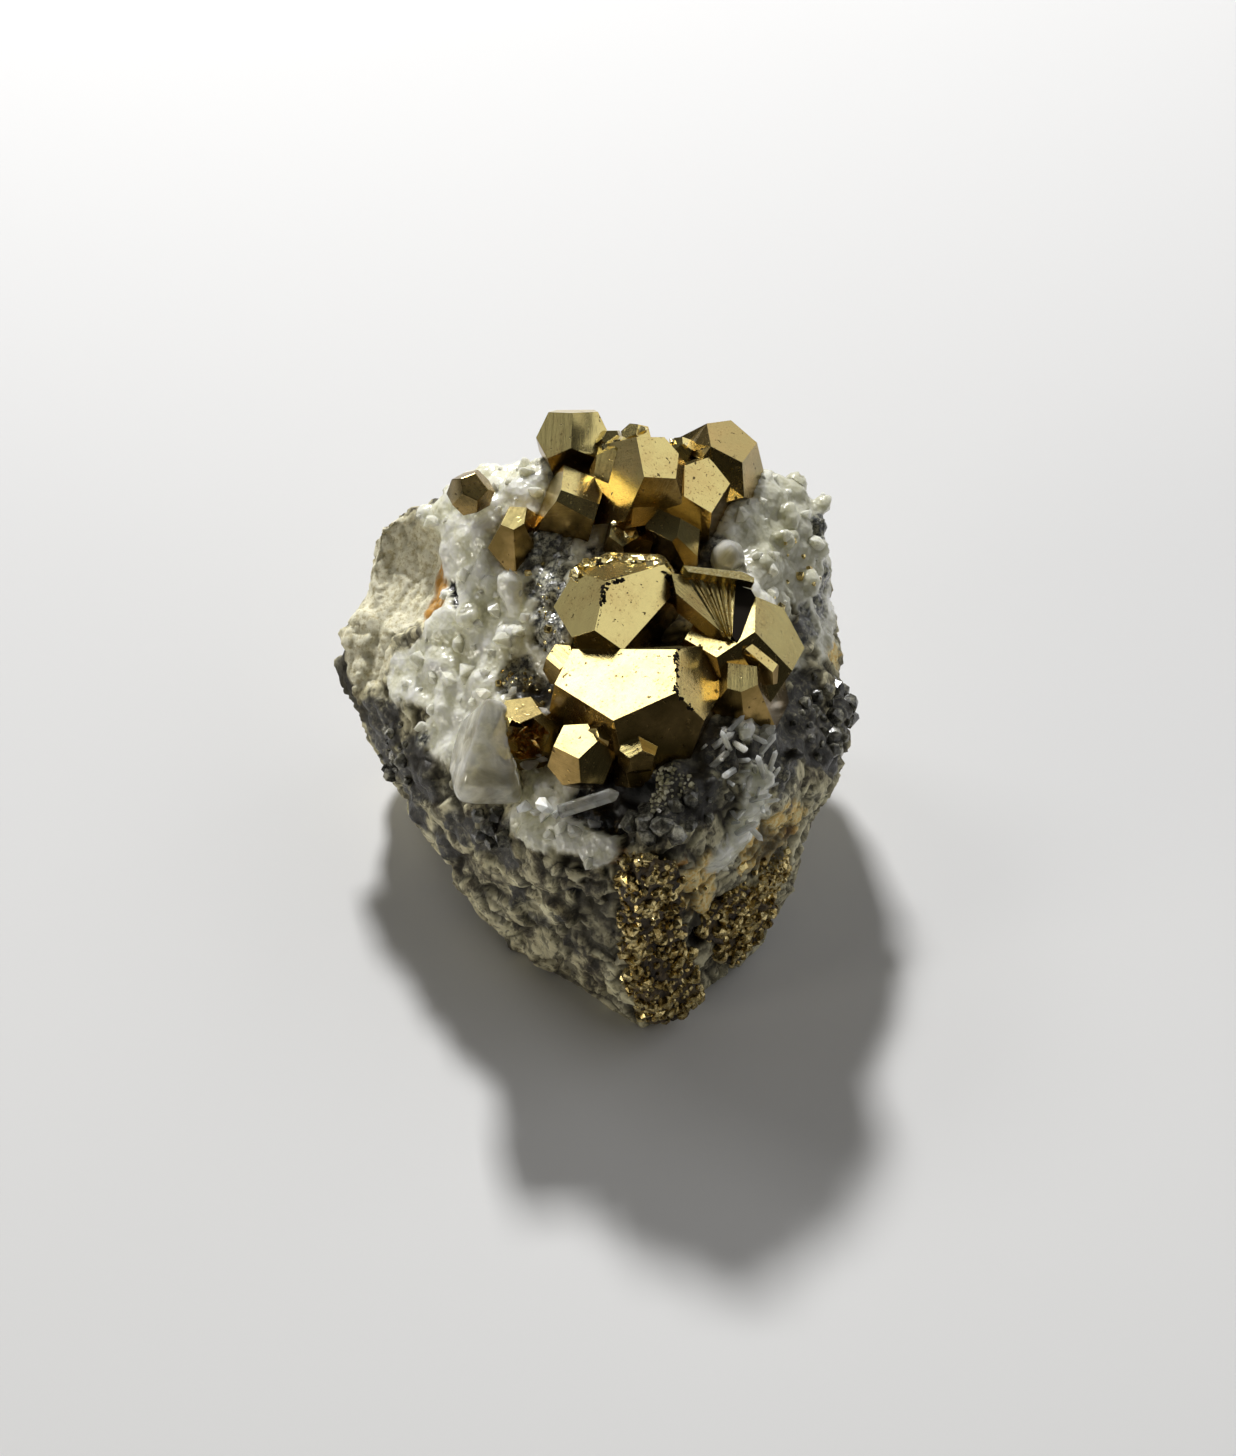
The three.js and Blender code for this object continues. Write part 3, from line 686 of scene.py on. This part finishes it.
# Dark sulphide lumps; some of these spots, in gaps between crystals and down the right side, are
# painted shade
DARK_LUMP_AND_SHADE_SPOTS = [
    (-29.6, 3.1, 22.8, 5.5), (-25.1, -4.5, 24.9, 5), (32, -5, 27, 5), (34, 2, 26, 4),
    (30, -8, 31, 3.5),
    (7.5, -26.5, 39, 4), (13, -24, 41, 4.5), (4, -20, 40, 5), (-5, 2, 43, 2.5), (-7, -4, 37.5, 3.5),
    (-8, 13, 47, 2.5), (17, -19, 42, 3), (24, -8, 40, 4), (-13, -19, 26, 4), (-3, -28, 26, 1.8),
    (10, -30.5, 15.6, 2.5), (14, -27, 14, 2.5), (-18, -13, 22, 3), (12, 9, 46, 3),
    (-9.5, -0.5, 38.2, 3),
    (-9, -24, 12, 2.6), (-5, -26, 10, 2.2), (-12, -22, 15, 2.6), (24, -14, 28, 3), (4, 12, 48, 4.5),
    (10, 12, 47, 4.5), (-4, 14, 47, 3.5), (-8, 17, 47, 3.5), (16, 14, 47, 3.5),
    (-15.5, -15.5, 24, 3),
    (-20, -9, 15, 3), (-24, -3, 16, 3.5), (-6, -27, 18, 2), (-1, 20, 48, 4), (13, 16, 48, 4),
    (-5, 9.5, 47, 3.5), (-4.5, 5, 45, 3), (27.6, -9, 35.5, 5), (25.5, -16.5, 35.5, 3.8),
    (29.4, -2.5, 33.6, 5), (17, -16, 42, 3), (31, 9, 38, 2.6), (33, 15, 35, 3),
    (23, -14, 39, 3.4), (22, -17, 40, 2), (33, 23, 40, 2.4), (29, 6, 38, 2.2), (35, 19, 35, 2.4),
]
OCHRE_SPOTS = [
    (23.6, -19.8, 25.5, 5), (25.5, -16, 24, 4), (13.8, -28.1, 27.5, 4.6), (14, -29, 22, 3.5),
    (12, -30, 25, 3.4), (34, 17, 36, 2.6), (35, 9, 30, 2.4),
]
GILT_SPOTS = [(20, -21, 12, 5), (8, -32, 18, 4), (24, -17, 15, 4), (5, -30, 33, 2.5)]
STAIN_SPOTS = [
    (-19.6, 17.5, 40.5, 3.6), (-20.8, 14, 37.5, 2.6), (25, -14, 22, 3), (3, -28, 33, 1.6),
    (10, -28, 33, 2), (35, 15, 35, 1.5),
]
HOLLOW_SPOTS = [(-27.5, 21, 37.5, 8.6), (-31.5, 13, 30, 5)]
# Painted shade down the right side of the quartz
RIGHT_SHADE_SPOTS = [
    (30, 20, 42, 9), (32, 10, 37, 8), (28, 4, 39, 6), (26, 12, 45, 5), (29, 27, 43, 6),
]
LOBE_SPOTS = [(-34.6, 13.6, 26.5, 4.6), (-33, 16.5, 31, 3.6)]
# Deep holes, dented in and coloured near black: partly dark mineral, partly painted shade
VOID_SPOTS = [
    (0.5, -22.6, 36, 2.6), (3, -23.3, 36.5, 2.9), (-1.8, -21.6, 36, 2.2), (5.6, -23, 38, 2.4),
    (1, -20.5, 38.5, 2.6), (3.5, -20.8, 38.5, 3.4), (6, -21, 39, 2.6),
    (10, -30.5, 15.6, 1.9), (14, -27, 14, 1.9), (-3, -28.6, 25.5, 1.5), (-18.8, 15.9, 40.2, 0.7),
    (-18.5, 14.4, 40.3, 0.7), (-18.2, 13, 40.1, 0.7), (-17.9, 11.6, 40.6, 0.6),
]

# Sizes and heights of the relief, in millimetres
RAGGED_SIZE, RAGGEDNESS, BORDER = 4.5, 0.45, 0.12
BLOCK_SIZE, BLOCK_STEP, BLOCK_CRACK = 9, 1.6, 0.13
SMALL_BLOCK_SIZE, SMALL_BLOCK_STEP, SMALL_BLOCK_CRACK = 4, 0.5, 0.11
SMALL_BLOCK_SHIFT = 40
CRACK_DEPTH = 0.8
HOLLOW_DEPTH = 0.5
VOID_DEPTH = 1.4
LOBE_HEIGHT = 1.2
DEEPEST, HIGHEST = -2, 1.2
STRAY_LIMIT, EASE_ROUNDS = 0.3, 4
CALM_FOOT, ROUGH_FROM = 0.2, 2.5


def coverage(points, spots, ragged):
    """How much of each point lies in the spots: 0 to 1, with a ragged border."""
    depth = np.full(len(points), -9.0)
    for x, y, z, radius in spots:
        apart = np.linalg.norm(points - np.array((x, y, z)), axis=1) / radius
        depth = np.maximum(depth, 1 - apart)
    return smooth(depth + ragged, -BORDER, BORDER)


def noise_at(points, size):
    return np.array([noise.fractal(p, 0.8, 2.1, 4) for p in points / size])


def lumps_at(points, size):
    """Rounded lumps about one size apart: how far each point is from its lump's middle."""
    return np.array([noise.voronoi(p)[0][0] for p in points / size])


def blocks_at(points, size):
    """Splits space into blocks: how far each point is from a crack, and its block's level."""
    cracks, levels = np.empty(len(points)), np.empty(len(points))
    for index, place in enumerate(points / size):
        bent = Vector(place) + 0.35 * noise.noise_vector(Vector(place) * 1.7)
        apart, centres = noise.voronoi(bent)
        cracks[index] = apart[1] - apart[0]
        levels[index] = noise.noise(centres[0] * 3.7)
    return cracks, levels


def eased(mesh, points, limit):
    """Brings each point that sticks out by more than the limit back among its neighbours."""
    edges = np.empty(len(mesh.edges) * 2, dtype=np.int32)
    mesh.edges.foreach_get("vertices", edges)
    first, second = edges.reshape(-1, 2).T
    joined = np.bincount(edges, minlength=len(points))
    for _ in range(EASE_ROUNDS):
        around = np.empty_like(points)
        for axis in range(3):
            total = np.bincount(first, points[second, axis], len(points))
            total += np.bincount(second, points[first, axis], len(points))
            around[:, axis] = total / joined
        stray = np.linalg.norm(points - around, axis=1) > limit
        points = np.where(stray[:, None], around, points)
    return points


def set_weight(mesh, name, values):
    layer = mesh.attributes.get(name) or mesh.attributes.new(name, "FLOAT", "POINT")
    layer.data.foreach_set("value", np.clip(values, 0, 1).astype(np.float32))


rock_mesh = rebuilt("matrix_rock", "matrix_block", ROCK_VOXEL)
rock_points, rock_normals = vertex_arrays(rock_mesh)
ragged = noise_at(rock_points, RAGGED_SIZE) * RAGGEDNESS
hollow_share = coverage(rock_points, HOLLOW_SPOTS, ragged * 0.25)
quartz_share = coverage(rock_points, QUARTZ_SPOTS, ragged) * (1 - hollow_share)
dark_share = coverage(rock_points, DARK_LUMP_AND_SHADE_SPOTS, ragged)
ochre_share = coverage(rock_points, OCHRE_SPOTS, ragged)
gilt_share = coverage(rock_points, GILT_SPOTS, ragged)
stain_share = coverage(rock_points, STAIN_SPOTS, ragged * 0.6)
void_share = coverage(rock_points, VOID_SPOTS, ragged * 0.4)
right_shade_share = coverage(rock_points, RIGHT_SHADE_SPOTS, ragged)

cracks, levels = blocks_at(rock_points, BLOCK_SIZE)
small_cracks, small_levels = blocks_at(rock_points + SMALL_BLOCK_SHIFT, SMALL_BLOCK_SIZE)
small_share = 0.85 * (1 - smooth(small_cracks, 0, SMALL_BLOCK_CRACK))
crack_share = np.maximum(1 - smooth(cracks, 0, BLOCK_CRACK), small_share)
fine_noise = noise_at(rock_points, 1.2)
host_relief = BLOCK_STEP * levels + SMALL_BLOCK_STEP * small_levels - CRACK_DEPTH * crack_share
host_relief = host_relief + 0.16 * fine_noise + 0.3 * noise_at(rock_points, 5)
sugar_relief = 0.5 + 1.7 * (0.42 - lumps_at(rock_points, 4.2)) + 0.1 * fine_noise
sugar_relief += 0.45 * (0.4 - lumps_at(rock_points, 1.7))
lump_relief = 2.0 * (0.42 - lumps_at(rock_points, 3.2)) + 0.2 * fine_noise
relief = host_relief * (1 - quartz_share) + sugar_relief * quartz_share
relief = relief * (1 - dark_share) + lump_relief * dark_share
open_cracks = crack_share * 0.95 * (1 - quartz_share)
# Painted shade: low places and open cracks are darkened, less so in the hollow
recess_shade_share = np.maximum(smooth(-relief, 0.3, 1.2), open_cracks) * (1 - 0.9 * hollow_share)
relief = relief * (1 - 0.5 * hollow_share) - HOLLOW_DEPTH * hollow_share
relief = np.clip(relief - VOID_DEPTH * void_share, DEEPEST, HIGHEST)
relief = relief + LOBE_HEIGHT * coverage(rock_points, LOBE_SPOTS, ragged * 0.1)
relief = relief * smooth(rock_points[:, 2], CALM_FOOT, ROUGH_FROM)
crystal_nodes = [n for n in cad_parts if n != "matrix_rock" and "crust" not in n]
crystal_surfaces = [surface_of(n) for n in crystal_nodes]
seated, nearness = pressed(rock_points, crystal_surfaces, SOCKET_REACH, SOCKET_BITE)
relief = relief * smooth(nearness, SOCKET_REACH * 0.9, SOCKET_REACH)
rough_points = eased(rock_mesh, seated + rock_normals * relief[:, None], STRAY_LIMIT)
rough_points[:, 2] = np.maximum(rough_points[:, 2], 0)
rock_mesh.vertices.foreach_set("co", (rough_points * MM).ravel())
for name, share in {
    "quartz": quartz_share, "dark": dark_share, "ochre": ochre_share,
    "gilt": gilt_share, "stain": stain_share, "cavity": recess_shade_share, "void": void_share,
    "hollow": hollow_share, "grey": right_shade_share,
}.items():
    set_weight(rock_mesh, name, share)
rock_mesh.update()

# Colours of the minerals and of the painted shade, and the steps from dark to pale of the host rock
# and the quartz
MOTTLE_TONE = (0.085, 0.078, 0.06, 1)
PALE_TONE = (0.95, 0.92, 0.76, 1)
HOLLOW_DEEP, HOLLOW_PALE = (0.6, 0.52, 0.28, 1), (1.0, 0.96, 0.74, 1)
SAND_DEEP, SAND_PALE = (0.88, 0.58, 0.15, 1), (1.0, 0.86, 0.46, 1)
STAIN_TONE = (0.62, 0.3, 0.045, 1)
DARK_TONE = (0.042, 0.04, 0.033, 1)
GILT_TONE = (0.42, 0.31, 0.10, 1)
RECESS_SHADE_TONE = (0.022, 0.018, 0.011, 1)
VOID_DARK_AND_SHADE_TONE = (0.006, 0.005, 0.004, 1)
QUARTZ_RIGHT_SHADE = (0.34, 0.33, 0.22, 1)
DARK_QUARTZ = (0.05, 0.052, 0.05, 1)
QUARTZ_RECESS_SHADE = (0.13, 0.12, 0.075, 1)
HOST_STEPS = [
    (0.37, (0.05, 0.043, 0.03)), (0.42, (0.22, 0.19, 0.12)), (0.47, (0.54, 0.49, 0.31)),
    (0.56, (0.8, 0.74, 0.49)), (0.72, (0.9, 0.86, 0.66)),
]
QUARTZ_STEPS = [
    (0.32, (0.5, 0.49, 0.34)), (0.39, (0.78, 0.76, 0.56)), (0.48, (0.97, 0.95, 0.76)),
    (0.6, (1.0, 0.98, 0.86)),
]


def rock_finish():
    """Host rock and sugary quartz in one material, mixed by where the quartz lies."""
    finish = Finish("host_rock_and_quartz")
    quartz, dark, ochre = (finish.attribute(n) for n in ("quartz", "dark", "ochre"))
    gilt, stain, cavity, void = (finish.attribute(n) for n in ("gilt", "stain", "cavity", "void"))
    patches = finish.grain(5, 6, 0.62, distortion=0.8)
    grit = finish.grain(0.8, 6, 0.75)
    speck = finish.grain(0.28, 3, 0.6)
    mixed = patches * 0.8 + grit * 0.2
    host = finish.node("ShaderNodeValToRGB", {"stops": HOST_STEPS}, {0: mixed})
    mottle = finish.band(finish.grain(2.8, 4, 0.62, distortion=1.5), 0.5, 0.6)
    host = finish.blend(mottle * 0.7, host, MOTTLE_TONE)
    pale = finish.band(finish.grain(6.5, 3, 0.5, distortion=0.6), 0.52, 0.62)
    host = finish.blend(pale * 0.6, host, PALE_TONE, "SOFT_LIGHT")
    cream = finish.blend(finish.band(grit, 0.36, 0.56), HOLLOW_DEEP, HOLLOW_PALE)
    host = finish.blend(finish.attribute("hollow") * 0.85, host, cream)
    sand = finish.blend(finish.band(grit, 0.4, 0.62), SAND_DEEP, SAND_PALE)
    host = finish.blend(ochre * finish.band(grit, 0.15, 0.45), host, sand)
    host = finish.blend(stain * finish.band(grit, 0.2, 0.55), host, STAIN_TONE)
    # Dark lumps, and in places painted shade
    host = finish.blend(dark * finish.band(grit, 0.2, 0.55), host, DARK_TONE)
    host = finish.blend(gilt * finish.band(speck, 0.42, 0.55), host, GILT_TONE)
    # Painted shade in recesses and cracks
    host = finish.blend(cavity * 0.93, host, RECESS_SHADE_TONE)
    # Near black in the holes: partly dark mineral, partly painted shade
    host = finish.blend(void, host, VOID_DARK_AND_SHADE_TONE)
    relief = finish.bump(grit + patches, 0.3, 0.6)
    relief = finish.bump(speck, 0.07, 0.4, relief)
    stone = finish.shader({
        "Base Color": host, "Roughness": 0.75 - dark * 0.4 - gilt * 0.35,
        "Metallic": gilt * finish.band(speck, 0.45, 0.55), "Normal": relief,
    })
    mixed = patches * 0.65 + grit * 0.35
    milk = finish.node("ShaderNodeValToRGB", {"stops": QUARTZ_STEPS}, {0: mixed})
    # Painted shade: the quartz is darker down the right side
    milk = finish.blend(finish.attribute("grey") * 0.62, milk, QUARTZ_RIGHT_SHADE)
    # Dark lumps in the quartz, and in places painted shade
    milk = finish.blend(dark * finish.band(grit, 0.3, 0.6), milk, DARK_QUARTZ)
    # Painted shade in the quartz's recesses
    milk = finish.blend(cavity * 0.75, milk, QUARTZ_RECESS_SHADE)
    milk = finish.blend(void, milk, VOID_DARK_AND_SHADE_TONE)
    facets = finish.cells(0.8)
    glassy = finish.shader({
        "Base Color": milk, "Roughness": 0.08 + speck * 0.25, "IOR": QUARTZ_BEND,
        "Subsurface Weight": 0.6, "Subsurface Scale": 0.004, "Subsurface Radius": EVEN_SCATTER,
        "Coat Weight": 0.4, "Coat Roughness": 0.08,
        "Normal": finish.bump(facets + grit * 0.25, 0.25, 0.6),
    })
    return finish.done(finish.node("ShaderNodeMixShader", {}, {0: quartz, 1: stone, 2: glassy}))


for polygon in rock_mesh.polygons:
    polygon.use_smooth = True
rock_mesh.materials.clear()
rock_mesh.materials.append(rock_finish())
settled("matrix_block", rock_mesh, "matrix_rock")

# Everything small that grew in numbers: sugary quartz grains, dark grains, and the fine golden
# crystals of the crusts. Each field is scattered over the surface that carries it.
CROWDING = 0.6  # how much closer than the spacing the places are tried
SIZE_CURVE = 1.8  # the higher, the fewer large grains


def scatter(name, ground, grain, weight, slot, material, spacing, sizes, lean, seed):
    """Grows copies of a grain on a surface, where its weight is high, leaning up to lean."""
    tree = bpy.data.node_groups.new(name, "GeometryNodeTree")
    sockets = {}
    tree.interface.new_socket("Geometry", in_out="OUTPUT", socket_type="NodeSocketGeometry")
    tree.interface.new_socket("Geometry", in_out="INPUT", socket_type="NodeSocketGeometry")
    smallest, largest = (size * MM for size in sizes)
    spacing = spacing * MM
    for title, value in {"Spacing": spacing, "Smallest": smallest, "Largest": largest}.items():
        socket = tree.interface.new_socket(title, in_out="INPUT", socket_type="NodeSocketFloat")
        sockets[socket.identifier] = value

    def add(kind, settings=None, inputs=None):
        made = tree.nodes.new(kind)
        for key, value in (settings or {}).items():
            setattr(made, key, value)
        for key, value in (inputs or {}).items():
            if isinstance(value, bpy.types.NodeSocket):
                tree.links.new(value, made.inputs[key])
            else:
                made.inputs[key].default_value = value
        return made

    given = add("NodeGroupInput").outputs
    share = add("GeometryNodeInputNamedAttribute", {"data_type": "FLOAT"}, {"Name": weight})
    places = add("GeometryNodeDistributePointsOnFaces", {"distribute_method": "POISSON"}, {
        "Mesh": given["Geometry"], "Distance Min": given["Spacing"],
        "Density Max": 1 / (CROWDING * spacing) ** 2,
        "Density Factor": share.outputs["Attribute"], "Seed": seed,
    })
    turn = add("FunctionNodeRandomValue", {"data_type": "FLOAT_VECTOR"}, {
        0: (-lean, -lean, -math.pi), 1: (lean, lean, math.pi), "Seed": seed + 1,
    })
    facing = add("FunctionNodeRotateRotation", {"rotation_space": "LOCAL"}, {
        "Rotation": places.outputs["Rotation"], "Rotate By": turn.outputs[0],
    })
    spread = add("FunctionNodeRandomValue", {"data_type": "FLOAT"}, {
        "Min": 0.0, "Max": 1.0, "Seed": seed + 2,
    })
    curve = add("ShaderNodeMath", {"operation": "POWER"}, {0: spread.outputs[1], 1: SIZE_CURVE})
    size = add("ShaderNodeMapRange", {}, {
        "Value": curve.outputs[0], "To Min": given["Smallest"], "To Max": given["Largest"],
    })
    source = add("GeometryNodeObjectInfo", {}, {"Object": grain})
    copies = add("GeometryNodeInstanceOnPoints", {}, {
        "Points": places.outputs["Points"], "Instance": source.outputs["Geometry"],
        "Rotation": facing.outputs[0], "Scale": size.outputs[0],
    })
    real = add("GeometryNodeRealizeInstances", {}, {"Geometry": copies.outputs[0]})
    painted = add("GeometryNodeSetMaterial", {}, {
        "Geometry": real.outputs[0], "Material": material,
    })
    add("NodeGroupOutput", {}, {"Geometry": painted.outputs[0]})

    carrier = link(bpy.data.objects.new(name, ground))
    grow = carrier.modifiers.new("grow", "NODES")
    grow.node_group = tree
    for identifier, value in sockets.items():
        grow[identifier] = value
    graph = bpy.context.evaluated_depsgraph_get()
    mesh = bpy.data.meshes.new_from_object(carrier.evaluated_get(graph))
    carrier.modifiers.remove(grow)
    bpy.data.objects.remove(carrier)
    mesh.name = name
    return settled(name, mesh)


def grain_object(name, corners):
    shape = bmesh.new()
    for corner in corners:
        shape.verts.new(corner)
    bmesh.ops.convex_hull(shape, input=shape.verts)
    bmesh.ops.recalc_face_normals(shape, faces=shape.faces)
    return bpy.data.objects.new(name, mesh_of(shape, name))


def quartz_grain(name, length, top):
    """A stub of a six-sided quartz crystal: the foot is at the origin, one width across."""
    corners = [(0, 0, length)]
    for side in range(6):
        angle = math.radians(60 * side)
        width = 0.5 if side % 2 else 0.42
        corners.append((width * math.cos(angle), width * math.sin(angle), -0.3))
        corners.append((width * math.cos(angle), width * math.sin(angle), length * top))
    return grain_object(name, corners)


def pyrite_grain(name):
    """A tiny pyritohedron one unit across."""
    corners = []
    for a in (-1, 1):
        for b in (-1, 1):
            corners += [(0, 0.5 * a, b), (b, 0, 0.5 * a), (0.5 * a, b, 0)]
            corners += [(0.75 * a, 0.75 * b, 0.75), (0.75 * a, 0.75 * b, -0.75)]
    return grain_object(name, [Vector(c) * 0.5 for c in corners])


LUMP_CORNERS = 22


def lump_grain(name, seed):
    """A rounded broken lump one unit across."""
    chance = np.random.default_rng(seed)
    corners = chance.normal(size=(LUMP_CORNERS, 3))
    corners /= np.linalg.norm(corners, axis=1)[:, None]
    corners *= chance.uniform(0.42, 0.52, (LUMP_CORNERS, 1)) * (1, 0.85, 1)
    return grain_object(name, corners.tolist())


def grain_finish(name, colours, rough, metal, soft):
    finish = Finish(name)
    tone = finish.node("ShaderNodeValToRGB", {"stops": colours}, {0: finish.grain(1.6, 4, 0.7)})
    fine = finish.grain(0.3, 3)
    return finish.done(finish.shader({
        "Base Color": tone, "Metallic": metal, "Roughness": rough + fine * 0.2,
        "IOR": QUARTZ_BEND, "Subsurface Weight": soft, "Subsurface Scale": 0.0025,
        "Subsurface Radius": EVEN_SCATTER,
        "Normal": finish.bump(fine, 0.05, 0.5),
    }))


upward = smooth(rock_normals[:, 2], -0.2, 0.5)
clump = smooth(noise_at(rock_points, 6), -0.35, 0.25)
clear_of_crystals = smooth(nearness, SOCKET_REACH * 0.95, SOCKET_REACH)
STREAK_SPOTS = [
    (17, -19.5, 42, 3), (20, -18, 41, 4), (21.5, -20, 37, 3.2), (19.5, -24.5, 34, 2.6),
    (22.6, -14, 41, 2.8),
]
FLUFF_SPOTS = [
    (6.5, -21, 40.5, 2.6), (9, -21.5, 41.5, 2.6), (8, -24, 40.5, 2.4), (11.5, -23, 42, 2),
]
SMOKY_SPOTS = [
    (6.5, -27, 37.5, 3.2), (10, -27, 38.5, 3.4), (14, -26.5, 39.5, 3), (3, -22, 39, 3),
    (33, -2, 29, 6), (32, -6, 31, 4.5), (-28, 1, 23, 5), (-14, -18, 27, 3.5), (17, -24, 39.5, 2.5),
    (34, 3, 27, 4),
]
GLINT_SPOTS = [
    (-7.5, 12, 46.5, 2.2), (-5, 2, 43, 2.4), (-7, -4, 37.5, 2.5), (-9.5, -0.8, 38.2, 2.6),
    (24, -8, 40, 3), (12, 9, 46, 3), (25, 8, 43, 3), (30, 15, 42, 4), (19.5, -21, 17, 3),
    (21, -21, 22, 2.5), (15, -29, 25, 2),
]
growing = upward * clear_of_crystals * (1 - void_share)
open_ground = clear_of_crystals * (1 - void_share)
set_weight(rock_mesh, "grow_sugar", quartz_share * growing * clump * (1 - dark_share))
for spot_name, spots in {
    "streak": STREAK_SPOTS, "fluff": FLUFF_SPOTS, "smoky": SMOKY_SPOTS, "glint": GLINT_SPOTS,
}.items():
    share = coverage(rock_points, spots, ragged * 0.5) * open_ground
    set_weight(rock_mesh, "grow_" + spot_name, share)
set_weight(rock_mesh, "grow_gilt", gilt_share)

sugar_grain = lump_grain("sugar_grain", 5)
smoky_grain = lump_grain("smoky_grain", 8)
streak_grain = quartz_grain("streak_grain", 3.4, 0.8)
gold_grain = pyrite_grain("gold_grain")
nugget = lump_grain("nugget", 13)
sugar_quartz = grain_finish("quartz_sugar", [
    (0.32, (0.52, 0.5, 0.36)), (0.42, (0.78, 0.76, 0.58)), (0.54, (0.92, 0.9, 0.71)),
    (0.7, (0.98, 0.96, 0.84)),
], rough=0.12, metal=0, soft=0.6)
STREAK_CLEAR, STREAK_CLOUD = (0.94, 0.97, 0.96, 1), (0.76, 0.79, 0.72, 1)
streak_quartz = quartz_finish("quartz_streak", 0.65, STREAK_CLEAR, STREAK_CLOUD)
smoky_finish = grain_finish("quartz_smoky", [
    (0.38, (0.022, 0.021, 0.017)), (0.52, (0.13, 0.125, 0.1)), (0.68, (0.48, 0.46, 0.36)),
], rough=0.1, metal=0, soft=0.4)
fluff_finish = grain_finish("grey_yellow_fluff", [
    (0.35, (0.16, 0.145, 0.07)), (0.5, (0.5, 0.47, 0.28)), (0.66, (0.85, 0.82, 0.62)),
], rough=0.35, metal=0, soft=0.3)
glint_finish = grain_finish("pyrite_small", [
    (0.3, (0.5, 0.36, 0.12)), (0.6, (0.85, 0.7, 0.33)),
], rough=0.12, metal=1.0, soft=0)
druse_finish = grain_finish("pyrite_fine", [
    (0.36, (0.11, 0.07, 0.02)), (0.47, (0.36, 0.26, 0.09)), (0.6, (0.85, 0.7, 0.34)),
], rough=0.18, metal=1.0, soft=0)

# Piece: its grain, where it grows, slot, material, spacing, smallest and largest size, lean, seed
GROWTH = {
    "sugar_lumps": (sugar_grain, "sugar", "quartz", sugar_quartz, 2.3, (0.8, 3.6), 0.5, 11),
    "quartz_streaks": (streak_grain, "streak", "quartz", streak_quartz, 1.5, (0.45, 1.1), 0.9, 17),
    "smoky_lumps": (smoky_grain, "smoky", "host_rock", smoky_finish, 1.9, (1.2, 4.2), 3, 23),
    "fluffy_grains": (sugar_grain, "fluff", "host_rock", fluff_finish, 0.6, (0.5, 1.2), 3, 29),
    "small_pyrites": (gold_grain, "glint", "pyrite", glint_finish, 1.9, (0.4, 1.5), 3, 31),
    "gilt_grains": (gold_grain, "gilt", "pyrite_crust", druse_finish, 0.8, (0.5, 1.4), 3, 37),
}
for name, (grain, spot_name, *growth) in GROWTH.items():
    scatter(name, rock_mesh, grain, "grow_" + spot_name, *growth)

CRUST_VOXEL = 0.4
CRUSTS = {"prow_druse": ("pyrite_prow_crust", 51), "right_druse": ("pyrite_right_crust", 61)}
druse_base = grain_finish("pyrite_crust_base", [
    (0.4, (0.03, 0.02, 0.01)), (0.65, (0.16, 0.11, 0.045)),
], rough=0.5, metal=0, soft=0)
for name, (node, seed) in CRUSTS.items():
    crust_mesh = rebuilt(node, name + "_base", CRUST_VOXEL)
    crust_points, crust_normals = vertex_arrays(crust_mesh)
    crust_relief = 0.7 * (0.4 - lumps_at(crust_points, 1.7)) + 0.4 * noise_at(crust_points, 3)
    rough_points = crust_points + crust_normals * crust_relief[:, None]
    crust_mesh.vertices.foreach_set("co", (rough_points * MM).ravel())
    crust_mesh.update()
    crust_mesh.materials.clear()
    crust_mesh.materials.append(druse_base)
    growing = smooth(noise_at(crust_points, 4) + crust_relief, -0.9, -0.3)
    set_weight(crust_mesh, "grow_gilt", growing)
    settled(name + "_base", crust_mesh, node)
    scatter(name, crust_mesh, nugget, "grow_gilt", "pyrite_crust", druse_finish,
            spacing=0.9, sizes=(0.8, 2.6), lean=3, seed=seed)
